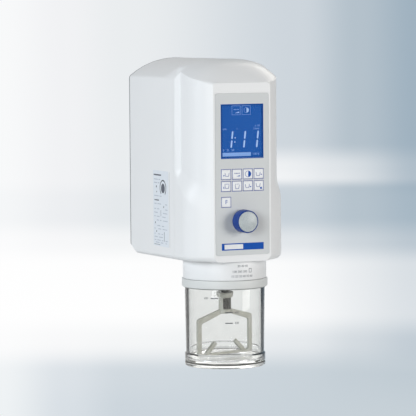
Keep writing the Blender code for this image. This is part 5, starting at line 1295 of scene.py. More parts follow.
class MIXER_OT_keys(bpy.types.Operator):
    """Nine square keys with their flanges and pictograms, each on its own body"""

    bl_idname = "mixer.keys"
    bl_label = "Keys"

    def execute(self, context):
        size = context.scene.mixer_front
        wall = context.scene.mixer_housing.wall
        for key in KEYS:
            low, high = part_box(key)
            middle = key_middle(key)
            half = size.key_size / 2
            rear = FRONT_Y + wall + GAP
            end = rear + size.key_flange_thickness
            cap = key_block(middle, half, low.y, end, size.key_corner)
            rim = [line for line in cap.edges if max(c.co.y for c in line.verts) < low.y + MERGE]
            soften(cap, rim, size.key_round, 4)
            flange = key_block(middle, half + size.key_flange, rear, end, size.key_corner)
            stud = key_block(middle, size.key_stud, rear, high.y)
            shape = merge_shapes(cap, flange, stud)
            piece = add_piece(key + "_moulding", shape, key + "_cap", "key", [key])
            even_normals(piece)
            lines, solid = Ink(in_print(middle)), Ink(in_print(middle))
            draw_key_sign(lines, solid, key)
            for name, ink in (("sign", solid), ("line", lines)):
                if ink.shape.faces:
                    tint = "blue_ink" if ink is solid else "sign_ink"
                    add_piece(f"{key}_{name}", ink.lay(on_front(low.y)), key + "_cap", tint)
        return {"FINISHED"}


# Print of the panel in millimetres; a field is given by its left, low, right and high edge
BLUE_STRIP = (-32.6, 14.7, 32.6, 24.6)
WHITE_FIELD = (-28.4, 16.3, 0.4, 23.0)
KEY_FRAME = 7.6
KEY_LINE = 0.62


class MIXER_OT_panel_print(bpy.types.Operator):
    """Print of the panel: lines round the keys, a blue strip with a bare white field"""

    bl_idname = "mixer.panel_print"
    bl_label = "Panel print"

    def execute(self, context):
        lines = Ink()
        for key in KEYS:
            u, v = in_print(key_middle(key))
            lines.frame(u - KEY_FRAME, v - KEY_FRAME, u + KEY_FRAME, v + KEY_FRAME, KEY_LINE)
        add_piece("key_lines", lines.lay(on_front(PANEL_Y)), "housing", "line_ink")
        strip = Ink()
        strip.bar(*BLUE_STRIP)
        add_piece("blue_strip", strip.lay(on_front(PANEL_Y)), "housing", "blue_ink")
        field = Ink()
        field.bar(*WHITE_FIELD)
        place = on_front(PANEL_Y - INK * MM)
        add_piece("white_field", field.lay(place), "housing", "white_ink")
        return {"FINISHED"}


# Signs of the display, in millimetres from its middle line and from the underside
DISPLAY_EDGE = (-33.1, 144.7, 33.1, 222.2)
FIGURES = (-15.3, 4.4, 24.4)
FIGURE_MIDDLE = 172
FIGURE_STROKES = ((172.4, 184.0), (160.0, 171.2))
FIGURE_LEAN = 0.11
STROKE_HALF = 1.2
COLON = ((-10.3, 174.4), (-10.8, 168.4))
LEVEL_BAR = (-30.0, 148.2, 14.0, 153.4)
PICTURES = (-15.2, 0.4)
PICTURE_LOW = 206.7
PICTURE_HIGH = 219.9
PICTURE_WIDTH = 13.3
CLOCK = (7.6, 213.3)
CLOCK_RADIUS = 3.6
DISPLAY_WORDS = (
    ("min", -29.7, 187.0),
    ("s", -8.0, 187.6),
    ("1/min", 17.6, 186.9),
    ("x 10", 20.5, 191.0),
    ("0   25   50", -29.5, 156.8),
    ("100 %", 16.8, 150.8),
)


class MIXER_OT_display(bpy.types.Operator):
    """Signs of the display: figures, a level bar and two small pictures"""

    bl_idname = "mixer.display"
    bl_label = "Display"

    def execute(self, context):
        signs = Ink()
        for u in FIGURES:
            for low, high in FIGURE_STROKES:
                self.stroke(signs, u, low, high)
        for u, v in COLON:
            signs.bar(u - 0.8, v - 0.9, u + 0.8, v + 0.9)
        signs.disc(*CLOCK, CLOCK_RADIUS, -90, 180)
        signs.area([(-10.4, 209.4), (-3.8, 209.4), (-3.8, 211.4)])
        faint = Ink()
        faint.bar(*LEVEL_BAR)
        for left in PICTURES:
            faint.frame(left, PICTURE_LOW, left + PICTURE_WIDTH, PICTURE_HIGH, 0.42)
        for step in range(4):
            faint.bar(-12.1 + 2.2 * step, 213.9, -10.7 + 2.2 * step, 214.9)
        faint.arc(*CLOCK, CLOCK_RADIUS + 0.4, CLOCK_RADIUS, 90, 180)
        for words, u, v in DISPLAY_WORDS:
            faint.words(words, u, v, 4.2, "LEFT")
        edge = Ink()
        edge.frame(*DISPLAY_EDGE, 1.0)
        add_piece("display_edge", edge.lay(on_front(PANEL_Y)), "housing", "display_ink")
        place = on_front(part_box("lcd_module")[0].y)
        add_piece("display_signs", signs.lay(place), "housing", "digits")
        add_piece("display_faint_signs", faint.lay(place), "housing", "faint_digits")
        return {"FINISHED"}

    def stroke(self, signs, u, low, high):
        """One slanted stroke of a seven-part figure, pointed at both ends."""
        half = STROKE_HALF
        right = [(0, low), (half, low + half), (half, high - half)]
        left = [(0, high), (-half, high - half), (-half, low + half)]
        signs.area([(u + x + FIGURE_LEAN * (y - FIGURE_MIDDLE), y) for x, y in right + left])


class MIXER_OT_knob(bpy.types.Operator):
    """Control knob with its turned cap"""

    bl_idname = "mixer.knob"
    bl_label = "Knob"

    def execute(self, context):
        size = context.scene.mixer_front
        low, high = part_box("control_knob")
        end, root = low.y, high.y
        seat = end + size.cap_thickness - GAP
        wall = size.knob_wall
        skirt = PANEL_Y - size.knob_lift
        corners = [
            (0, seat, 0),
            (size.cap_radius + GAP, seat, 0),
            (size.cap_radius + GAP, end, 0.0003),
            (size.knob_radius - size.knob_waist, end, size.knob_round),
            (size.knob_radius, skirt, 0.0004),
            (size.knob_radius - wall, skirt, 0),
            (size.knob_radius - wall, seat + 4 * wall, 0),
            (size.knob_boss, seat + 4 * wall, 0),
            (size.knob_boss, root, 0),
            (size.knob_bore, root, 0),
            (size.knob_bore, seat + 2 * wall, 0),
            (0, seat + 2 * wall, 0),
        ]
        shape = turned(rounded_line(corners), KNOB, "Y", KNOB_STEPS, closed=False)
        add_piece("knob_moulding", shape, "knob", "knob", ["control_knob"])
        low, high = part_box("knob_cap")
        groove = size.cap_radius - 3 * size.groove_width
        corners = [
            (0, low.y, 0),
            (groove - size.groove_width, low.y, 0),
            (groove, low.y + size.groove_depth, 0),
            (groove + size.groove_width, low.y, 0),
            (size.cap_radius, low.y, 0.0004),
            (size.cap_radius, high.y, 0),
            (0, high.y, 0),
        ]
        shape = turned(rounded_line(corners, 4), KNOB, "Y", KNOB_STEPS, closed=False)
        add_piece("knob_cap_disc", shape, "knob", "cap", ["knob_cap"])
        return {"FINISHED"}


# Lid, bowl and paddle


# Marks of the lid: figures with their angle and height, and a field; degrees across, millimetres up
LID_FIGURES = (("20 40 60", 1.8, -9.0), ("100 200 300", -2.4, -16.9), ("10 20 30 40 50 60", 1.2, -23.6))
LID_FIGURE_HEIGHT = 4.6
LID_FIELD = (11.4, -18.6, 15.8, -12.6)
LID_FIELD_LINE = 0.7

# Marks of the bowl's scale: height, angle, figure and that figure's angle; then half of a mark's size
BOWL_SCALE = ((-55.2, -38.6, "600", -51.5), (-75.4, -17.8, "400", -6.6), (-90.6, -17.8, "300", -6.6))
BOWL_FIGURE_HEIGHT = 4.2
MARK_ANGLE = 5.4
MARK_HEIGHT = 0.65

# How far the window in the paddle's stem is cut to both sides of the axis
WINDOW_REACH = 0.030


class MIXER_OT_lid(bpy.types.Operator):
    """White lid with its spigot, skirt, neck and hub, and its marks"""

    bl_idname = "mixer.lid"
    bl_label = "Lid"

    def execute(self, context):
        size = context.scene.mixer_bowl
        low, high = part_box("mixing_lid")
        radius = high.x
        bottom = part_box("bowl_collar")[1].z + GAP
        shoulder = UNDERSIDE - size.lid_gap
        ceiling = shoulder - size.lid_wall
        hub = UNDERSIDE - size.lid_hub_drop
        bush = UNDERSIDE - size.bush_drop
        well = UNDERSIDE - size.well_drop
        neck = size.neck_radius
        corners = [
            (size.spigot_radius, high.z, 0.0006),
            (size.spigot_radius, shoulder, 0.0005),
            (radius, shoulder, size.lid_round),
            (radius, bottom, 0.0008),
            (neck, bottom, 0),
            (neck, low.z, 0.0008),
            (neck - size.neck_wall, low.z, 0.0008),
            (neck - size.neck_wall, ceiling, 0.002),
            (size.lid_hub_radius, ceiling, 0.002),
            (size.lid_hub_radius, hub, 0.0008),
            (size.bush_radius, hub, 0),
            (size.bush_radius, bush, 0),
            (size.shaft_hole, bush, 0),
            (size.shaft_hole, well, 0),
            (size.well_radius, well, 0),
            (size.well_radius, high.z, 0.0006),
        ]
        shape = turned(rounded_line(corners), AXIS)
        add_piece("lid_moulding", shape, "lid", "lid", ["mixing_lid"])
        marks = Ink()
        for figures, angle, v in LID_FIGURES:
            add_round_words(marks, figures, angle, v, LID_FIGURE_HEIGHT, radius)
        marks.frame(*LID_FIELD, LID_FIELD_LINE)
        place = on_round(lambda height: radius)
        add_piece("lid_marks", marks.lay(place), "lid", "grey_ink")
        return {"FINISHED"}


def add_round_words(ink, text, angle, v, height, radius):
    """Plain figures on a round face: u runs in degrees there, so the letters are drawn in that measure."""
    small = Ink()
    small.words(text, 0, 0, height)
    degrees = math.degrees(MM / radius)
    bmesh.ops.transform(
        small.shape,
        matrix=Matrix.Translation((angle, v, 0)) @ Matrix.Diagonal((degrees, 1, 1, 1)),
        verts=small.shape.verts,
    )
    merge_shapes(ink.shape, small.shape)


class MIXER_OT_bowl(bpy.types.Operator):
    """Grey collar with a dark band of painted shade under it, clear bowl with a dark ring of painted shade in
    its foot, and the bowl's scale
    """

    bl_idname = "mixer.bowl"
    bl_label = "Bowl"

    def execute(self, context):
        size = context.scene.mixer_bowl
        low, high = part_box("bowl_collar")
        inner = size.rim_radius + GAP
        lip = size.rim_radius - size.wall
        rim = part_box("mixing_bowl")[1].z
        corners = [
            (high.x, high.z, 0.0011),
            (high.x, low.z, 0.0013),
            (inner, low.z, 0.0004),
            (inner, rim + GAP, 0),
            (lip, rim + GAP, 0),
            (lip, high.z, 0.0005),
        ]
        shape = turned(rounded_line(corners), AXIS)
        add_piece("collar_moulding", shape, "bowl", "grey", ["bowl_collar"])
        # Painted shade: a dark band under the collar stands in for the shade of the gap between collar and
        # bowl
        corners = [
            (inner, low.z, 0),
            (inner + size.collar_shade_width, low.z, 0),
            (inner + size.collar_shade_width, low.z - size.collar_shade_height, 0.0004),
            (inner, low.z - size.collar_shade_height, 0.0004),
        ]
        shape = turned(rounded_line(corners, 3), AXIS)
        add_piece("collar_lip", shape, "bowl", "lip")
        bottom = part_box("mixing_bowl")[0].z
        # Painted shade: a dark ring in a groove of the foot stands in for the dark line that the stepped foot
        # shows through the clear wall
        ring_low = bottom + size.foot_band - size.foot_shade_height / 2
        ring_top = ring_low + size.foot_shade_height
        groove = size.foot_radius - size.foot_step
        corners = [
            (groove + GAP, ring_low, 0),
            (size.foot_radius - GAP, ring_low, 0.0003),
            (size.foot_radius - GAP, ring_top, 0.0003),
            (groove + GAP, ring_top, 0),
        ]
        shape = turned(rounded_line(corners, 3), AXIS)
        add_piece("foot_ring", shape, "bowl", "ring")
        outer = size.rim_radius - size.taper
        floor = bottom + size.floor
        foot = bottom + size.foot_height
        foot_inner = size.foot_radius - size.foot_rim
        corners = [
            (0, floor, 0),
            (outer - size.wall, floor, size.fillet),
            (lip, rim, 0.0006),
            (size.rim_radius, rim, 0.0006),
            (outer, foot + size.foot_slope, 0.0012),
            (size.foot_radius, foot, 0.0006),
            (size.foot_radius, ring_top + GAP, 0),
            (groove, ring_top + GAP, 0),
            (groove, ring_low - GAP, 0),
            (size.foot_radius, ring_low - GAP, 0.0004),
            (size.foot_radius, bottom, 0.0016),
            (foot_inner, bottom, 0.0008),
            (foot_inner - size.recess_slope, bottom + size.foot_recess, 0.0008),
            (0, bottom + size.foot_recess, 0),
        ]
        shape = turned(rounded_line(corners), AXIS, closed=False)
        add_piece("bowl_clear", shape, "bowl", "clear", ["mixing_bowl"])

        def wall_radius(height):
            share = (rim - height) / (rim - foot)
            return size.rim_radius - size.taper * share

        scale = Ink()
        for v, angle, figure, figure_angle in BOWL_SCALE:
            scale.bar(angle - MARK_ANGLE, v - MARK_HEIGHT, angle + MARK_ANGLE, v + MARK_HEIGHT)
            add_round_words(scale, figure, figure_angle, v, BOWL_FIGURE_HEIGHT, outer)
        add_piece("bowl_scale", scale.lay(on_round(wall_radius)), "bowl", "dark_ink")
        return {"FINISHED"}


class MIXER_OT_paddle(bpy.types.Operator):
    """Mixing paddle: hub, stem with a window, frame and two fins"""

    bl_idname = "mixer.paddle"
    bl_label = "Paddle"

    def execute(self, context):
        size = context.scene.mixer_bowl
        low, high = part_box("mixing_paddle")
        stem_top = high.z - size.hub_height
        stem_low = stem_top - size.stem_length
        block_top = stem_top - size.block_drop
        seat = block_top - size.block_height - GAP
        corners = [
            (0, stem_low, 0),
            (size.stem_radius, stem_low, 0.0010),
            (size.stem_radius, stem_top, 0.0006),
            (size.hub_radius - size.hub_slope, stem_top, 0.0012),
            (size.hub_radius, high.z, 0.0010),
            (size.bore_radius, high.z, 0.0004),
            (size.bore_radius, seat, 0),
            (0, seat, 0),
        ]
        shape = turned(rounded_line(corners, 4), AXIS, "Z", STEM_STEPS, closed=False)
        piece = add_piece("paddle_moulding", shape, "paddle", "paddle", ["mixing_paddle"])
        arms = self.frame_plate(size, low.z, stem_low + size.paddle_arm)
        fuse(piece, arms, self.fin(size, low.z, -1), self.fin(size, low.z, 1))
        half = size.block_side / 2 + GAP
        window = block(
            (-half, -WINDOW_REACH, seat), (half, WINDOW_REACH, block_top + GAP), along=1, corner=0.0008
        )
        bmesh.ops.transform(window, matrix=self.rest_turn(size), verts=window.verts)
        carve(piece, window)
        even_normals(piece)
        return {"FINISHED"}

    def rest_turn(self, size):
        """From the paddle's own middle to where it stands at rest."""
        return Matrix.Translation((AXIS.x, AXIS.y, 0)) @ Matrix.Rotation(size.paddle_angle, 4, "Z")

    def frame_plate(self, size, bottom, arm):
        """The flat frame: sloping arms, legs near the bowl's wall and a thin bar over its floor."""
        shoulder = arm - size.paddle_arm_drop
        reach = size.paddle_reach
        leg = reach - size.paddle_leg
        outline = [
            (reach, bottom, 0.0042),
            (reach, shoulder, 0.0042),
            (size.paddle_root, arm, 0),
        ]
        hole = [
            (leg, bottom + size.paddle_bar, 0.0036),
            (leg, shoulder - size.paddle_arm, 0.0040),
            (size.paddle_root, arm - size.paddle_arm, 0.002),
        ]
        for half in (outline, hole):
            half += [(-x, z, radius) for x, z, radius in reversed(half)]
        thickness = size.paddle_thickness
        shape = plate(rounded_line(outline), [rounded_line(hole)], thickness)
        soften(shape, bent_edges(shape), size.paddle_round)
        stand = Matrix.Rotation(math.pi / 2, 4, "X") @ Matrix.Translation((0, 0, -thickness / 2))
        bmesh.ops.transform(shape, matrix=self.rest_turn(size) @ stand, verts=shape.verts)
        return shape

    def fin(self, size, bottom, side):
        """A raised fin that leans inward from the bar."""
        inward = size.fin_root - size.fin_tip
        run = math.hypot(inward, size.fin_rise)
        lean = math.atan2(size.fin_rise, inward)
        corner = Vector((run / 2, size.fin_half, size.fin_half))
        shape = block(-corner, corner, along=2, corner=0.0028, edge=0.0010)
        height = bottom + (size.paddle_bar + size.fin_rise) / 2
        middle = Vector((side * (size.fin_root + size.fin_tip) / 2, 0, height))
        lie = Matrix.Translation(middle) @ Matrix.Rotation(side * lean, 4, "Y")
        bmesh.ops.transform(shape, matrix=self.rest_turn(size) @ lie, verts=shape.verts)
        return shape


# Side plate and small parts


# The side plate in millimetres: u from the front face, which is negative behind it, and v from the underside
PLATE = (-148.5, 13.5, -91.0, 123.5)
PLATE_FILM = 0.16
PLATE_RING = (-111.4, 98.6, 12.0, 10.2, -50, 280)
PLATE_DOTS = ((-136.3, 99.9, 1.5), (-135.3, 92.3, 1.1), (-109.1, 71.3, 1.3), (-136.6, 34.6, 1.2))
PALE_DOTS = ((-111.4, 98.2, 7.0), (-141.0, 47.0, 1.4))
PALE_BARS = (
    (-146.5, 116.0, -118.0, 118.0),
    (-144.0, 79.4, -127.0, 81.0),
    (-120.4, 57.0, -119.4, 66.0),
    (-107.8, 21.0, -106.6, 35.0),
    (-145.6, 15.2, -123.3, 15.9),
)
SIDE_LINE = (-87.4, 14.0, -86.6, 123.0)

# Rows of short bars on the plate: a row's height, and where each bar starts and ends; then half their height
PLATE_ROWS = (
    (110.5, (-145, -131), (-128, -122)),
    (105.5, (-145, -134), (-131, -125)),
    (86.5, (-145, -128), (-125, -117)),
    (75.0, (-145, -136), (-133, -119), (-103, -96)),
    (67.5, (-145, -138), (-134, -126), (-104, -95)),
    (62.0, (-145, -132), (-112, -96)),
    (56.5, (-145, -140), (-136, -125), (-115, -102)),
    (51.0, (-136, -128), (-124, -118), (-112, -95)),
    (43.0, (-134, -122), (-117, -108)),
    (38.5, (-145, -140), (-130, -119), (-114, -97)),
    (31.0, (-145, -141), (-131, -123), (-118, -112)),
    (26.5, (-145, -133), (-128, -113)),
    (22.0, (-145, -138), (-134, -121), (-117, -111), (-103, -95)),
    (18.5, (-140, -126), (-121, -112), (-103, -98)),
)
ROW_HALF = 0.6

# The power switch's rocker: its tilt at rest, how far its ends and its middle stand out, and half its length
ROCKER_TILT = math.radians(8)
ROCKER_RISE = 0.0042
ROCKER_DIP = 0.0023
ROCKER_HALF = 0.00875

# Screws of the base plate: distance to the sides, depth of the front pair, distance of the rear pair from the
# opening's end, and the head's profile in millimetres as radius, depth under the plate and round
SCREW_SIDE = 0.050
SCREW_DEPTH = 0.150
SCREW_INSET = 0.009
SCREW_HEAD = (
    (0, 0.7, 0), (1.4, 0.7, 0), (1.4, 1.4, 0), (1.9, 1.6, 0), (3.2, 1.0, 0.8), (3.3, 0.02, 0), (0, 0.02, 0)
)


class MIXER_OT_side_plate(bpy.types.Operator):
    """Plain plate on the left side, with a ring, dots and rows of bars, and a thin upright line before it"""

    bl_idname = "mixer.side_plate"
    bl_label = "Side plate"

    def execute(self, context):
        film = Ink()
        film.bar(*PLATE)
        side = on_side(-SIDE_X)
        add_piece("side_plate", film.lay(side, PLATE_FILM), "housing", "plate")
        dark = Ink()
        dark.arc(*PLATE_RING)
        for dot in PLATE_DOTS:
            dark.disc(*dot)
        pale = Ink()
        for dot in PALE_DOTS:
            pale.disc(*dot)
        for bar in PALE_BARS:
            pale.bar(*bar)
        rows = Ink()
        for v, *runs in PLATE_ROWS:
            for start, end in runs:
                rows.bar(start, v - ROW_HALF, end, v + ROW_HALF)
        edge = Ink()
        edge.bar(*SIDE_LINE)
        place = on_side(-SIDE_X - PLATE_FILM * MM)
        add_piece("side_plate_rows", rows.lay(place), "housing", "plate_ink")
        add_piece("side_plate_marks", dark.lay(place), "housing", "dark_ink")
        add_piece("side_plate_lines", pale.lay(place), "housing", "grey_ink")
        add_piece("side_line", edge.lay(side), "housing", "faint_ink")
        return {"FINISHED"}


class MIXER_OT_fasteners(bpy.types.Operator):
    """Screws of the base plate and the marks of the power switch"""

    bl_idname = "mixer.fasteners"
    bl_label = "Fasteners"

    def execute(self, context):
        size = context.scene.mixer_housing
        rear = WALL_DEPTH - size.base_rear
        shape = bmesh.new()
        for depth in (SCREW_DEPTH, rear - SCREW_INSET):
            for x in (-SCREW_SIDE, SCREW_SIDE):
                merge_shapes(shape, self.screw(at(x, depth, 0)))
        add_piece("base_screws", shape, "housing", "steel")
        on_mark = Ink()
        on_mark.bar(-0.35, -1.6, 0.35, 1.6)
        add_piece("rocker_on_mark", on_mark.lay(self.on_rocker(1)), "rocker", "white_ink")
        off_mark = Ink()
        off_mark.arc(0, 0, 1.7, 1.15)
        add_piece("rocker_off_mark", off_mark.lay(self.on_rocker(-1)), "rocker", "white_ink")
        return {"FINISHED"}

    def on_rocker(self, side):
        """Print on one of the rocker's two slanted faces, 1 for the upper and -1 for the lower."""
        pivot = joint_place("rocker_tilt")
        turn = Matrix.Rotation(ROCKER_TILT, 3, "Y")
        along = Vector((side * (ROCKER_RISE - ROCKER_DIP), 0, ROCKER_HALF)).normalized()
        out = Vector((along.z, 0, -along.x))
        middle = Vector(((ROCKER_RISE + ROCKER_DIP) / 2, 0, side * ROCKER_HALF / 2))

        def place(u, v, w):
            return pivot + turn @ (middle + MM * (Vector((0, u, 0)) + along * v + out * w))

        return place

    def screw(self, place):
        """A low round head with a round recess, under the base plate."""
        corners = [(radius * MM, place.z - drop * MM, edge * MM) for radius, drop, edge in SCREW_HEAD]
        return turned(rounded_line(corners), place, "Z", SCREW_STEPS, closed=False)


# Solids that stay as they are


KEPT = {
    "base": ("base_plate",),
    "plate_steel": ("back_plate", "pump_bracket"),
    "panel": ("keypad_panel",),
    "pane": ("display_window",),
    "display": ("lcd_module",),
    "board": ("control_board", "power_board"),
    "aluminium": ("dock_flange", "drive_bracket", "pump_head"),
    "rubber": ("dock_seal", "vacuum_hose", "dock_hose"),
    "steel": (
        "drive_shaft", "drive_coupling", "encoder_shaft", "lower_bearing", "upper_bearing", "motor_pinion"
    ),
    "streaked_steel": ("paddle_shaft",),
    "nylon": ("drive_gear",),
    "motor": ("motor_body", "pump_motor"),
    "bronze": ("lid_bush",),
    "filter": ("lid_filter",),
    "silicone": ("lid_seal",),
    "black": ("mains_inlet", "switch_body", "power_rocker", "encoder_body", "vent_valve"),
    "core": ("transformer",),
}


class MIXER_OT_inner_works(bpy.types.Operator):
    """Finishes of the solids that stay: plates, drive, pump, boards, inlet and switch"""

    bl_idname = "mixer.inner_works"
    bl_label = "Inner works"

    def execute(self, context):
        smooth = self.smoothing()
        for name, nodes in KEPT.items():
            for node in nodes:
                solid = frame["nodes"][node]
                solid.data.materials.clear()
                solid.data.materials.append(FINISHES[name])
                step = solid.modifiers.new("smooth", "NODES")
                step.node_group = smooth
        return {"FINISHED"}

    def smoothing(self):
        """Join a solid's triangles and shade it smooth up to sharp edges."""
        group = bpy.data.node_groups.new("smooth_by_angle", "GeometryNodeTree")
        for way in ("INPUT", "OUTPUT"):
            group.interface.new_socket("Geometry", in_out=way, socket_type="NodeSocketGeometry")
        solid = add_node(group, "NodeGroupInput").outputs["Geometry"]
        merged = add_node(group, "GeometryNodeMergeByDistance", solid)
        merged.inputs["Distance"].default_value = MERGE
        faces = add_node(group, "GeometryNodeSetShadeSmooth", merged.outputs["Geometry"])
        edges = add_node(group, "GeometryNodeSetShadeSmooth", faces.outputs["Geometry"], domain="EDGE")
        angle = add_node(group, "GeometryNodeInputMeshEdgeAngle").outputs["Unsigned Angle"]
        group.links.new(add_math(group, "LESS_THAN", angle, SOLID_SHARP), edges.inputs["Shade Smooth"])
        add_node(group, "NodeGroupOutput", edges.outputs["Geometry"])
        return group


# Stage


CAMERA_AIM = Vector((-0.010196, -0.1435, -0.067766))
CAMERA_DISTANCE = 3.6927
CAMERA_AZIMUTH = math.radians(-23.372)
CAMERA_ELEVATION = math.radians(4.22)
CAMERA_ROLL = math.radians(-0.405)

# Share of the floor's radius from which it fades out
FLOOR_FADE = 0.45

# Lamps: name, degrees to the right of the front, degrees up, and tint
LAMPS = (
    ("key", -48, 10, (0.95, 0.985, 1.0)),
    ("fill", 40, 8, (1.0, 0.975, 0.945)),
    ("side", -85, 17, (0.90, 0.95, 1.0)),
    ("rear", 125, 40, (1.0, 0.965, 0.91)),
)
LAMP_DISTANCE = 3.2
LAMP_SIZE = 1.4

# Colour of the even light
EVEN = (0.8, 0.8, 0.8, 1)

# Half the span of directions that the picture takes in, and half of the span of the surround
PICTURE_HALF = 0.0817
SURROUND_HALF = 0.8


def greys(*stops):
    """Stops of a mask, each a place and a grey level."""
    return tuple((place, (level, level, level)) for place, level in stops)


# What glass shows: the light behind it from low to high, and a dark surround beside it at its level
THROUGH = (
    (0.0, (186, 188, 188)), (0.10, (216, 217, 216)), (0.17, (250, 250, 248)), (0.5, (250, 250, 248)),
    (1.0, (244, 244, 242)),
)
SURROUND = (74, 74, 68)
BESIDE = greys((0.0, 255), (0.10, 255), (0.16, 0), (0.84, 0), (0.90, 255), (1.0, 255))
BESIDE_LEVEL = greys((0.375, 0), (0.425, 255), (0.575, 255), (0.625, 0))

# The background from left to right, in its upper and its lowest part, and where that part is
ACROSS = (
    (0.0, (248, 249, 250)), (0.16, (241, 242, 244)), (0.30, (234, 237, 239)), (0.72, (205, 213, 220)),
    (0.86, (180, 193, 203)), (1.0, (160, 178, 192)),
)
BELOW = ((0.0, (238, 242, 244)), (0.16, (216, 223, 229)), (0.30, (204, 213, 220)), (1.0, (198, 208, 215)))
BELOW_LEVEL = greys((0.0, 255), (0.11, 235), (0.18, 0))

# Over it a haze, a pale streak and a white band: colour, where it is from low to high and from left to right
VEILS = (
    (
        (184, 198, 208),
        greys((0.42, 0), (0.47, 150), (0.52, 140), (0.57, 0)),
        greys((0.0, 130), (0.3, 180), (0.7, 255)),
    ),
    (
        (248, 249, 250),
        greys((0.545, 0), (0.575, 235), (0.60, 225), (0.66, 0)),
        greys((0.50, 0), (0.66, 255), (0.80, 220), (1.0, 120)),
    ),
    (
        (255, 255, 255),
        greys((0.10, 0), (0.18, 190), (0.25, 250), (0.36, 245), (0.42, 170), (0.48, 0)),
        greys((0.0, 255), (0.62, 255), (1.0, 200)),
    ),
)


def direction(side, rise):
    """A direction from the unit, by its angle to the right of the front and its height."""
    return Vector((math.sin(side) * math.cos(rise), -math.cos(side) * math.cos(rise), math.sin(rise)))


def camera_axes():
    """The camera's right, up and backward directions."""
    back = direction(CAMERA_AZIMUTH, CAMERA_ELEVATION)
    right = Vector((math.cos(CAMERA_AZIMUTH), math.sin(CAMERA_AZIMUTH), 0))
    up = back.cross(right)
    rolled_right = math.cos(CAMERA_ROLL) * right + math.sin(CAMERA_ROLL) * up
    rolled_up = math.cos(CAMERA_ROLL) * up - math.sin(CAMERA_ROLL) * right
    return rolled_right, rolled_up, back


class Room:
    """The world in the making, with its nodes."""

    def __init__(self, world):
        world.use_nodes = True
        self.tree = world.node_tree
        self.tree.nodes.clear()
        self.place = add_node(self.tree, "ShaderNodeTexCoord").outputs["Generated"]
        self.right, self.up, _ = camera_axes()

    def light(self, colour, strength=1.0):
        """A light of a plain colour, or of one from other nodes."""
        return add_node(self.tree, "ShaderNodeBackground", colour, strength).outputs["Background"]

    def blend(self, share, *lights):
        """Two lights mixed by a share."""
        return add_node(self.tree, "ShaderNodeMixShader", share, *lights).outputs["Shader"]

    def ramp(self, direction, stops, half=PICTURE_HALF):
        """Colours along a fixed direction of the room, by default over the span that the picture takes in."""
        sources = (self.place, direction)
        dot = add_node(self.tree, "ShaderNodeVectorMath", *sources, operation="DOT_PRODUCT")
        limit = add_node(self.tree, "ShaderNodeMapRange", dot.outputs["Value"], -half, half)
        ramp = add_node(self.tree, "ShaderNodeValToRGB", limit.outputs["Result"])
        ramp.color_ramp.interpolation = "EASE"
        marks = ramp.color_ramp.elements
        while len(marks) < len(stops):
            marks.new(0.5)
        for mark, (place, _) in zip(marks, stops):
            mark.position = place
        for mark, (_, screen) in zip(marks, stops):
            mark.color = (*tone(*screen), 1)
        return ramp.outputs["Color"]

    def crossing(self, level, reach, half=PICTURE_HALF):
        """A mask from low to high and from left to right."""
        masks = (self.ramp(self.up, level, half), self.ramp(self.right, reach, half))
        return add_math(self.tree, "MULTIPLY", *masks)

    def background(self):
        """White to the left and pale blue-grey to the right, with a haze, a streak and a white band."""
        upper = self.ramp(self.right, ACROSS)
        ground = add_mix(self.tree, self.ramp(self.up, BELOW_LEVEL), upper, self.ramp(self.right, BELOW))
        for screen, level, reach in VEILS:
            ground = add_mix(self.tree, self.crossing(level, reach), ground, tone(*screen))
        return ground

    def behind_glass(self, strength):
        """What clear pieces show: light behind them, and a darker room to both sides."""
        through = self.light(self.ramp(self.up, THROUGH), strength)
        surround = self.light((*tone(*SURROUND), 1))
        return self.blend(self.crossing(BESIDE_LEVEL, BESIDE, SURROUND_HALF), through, surround)


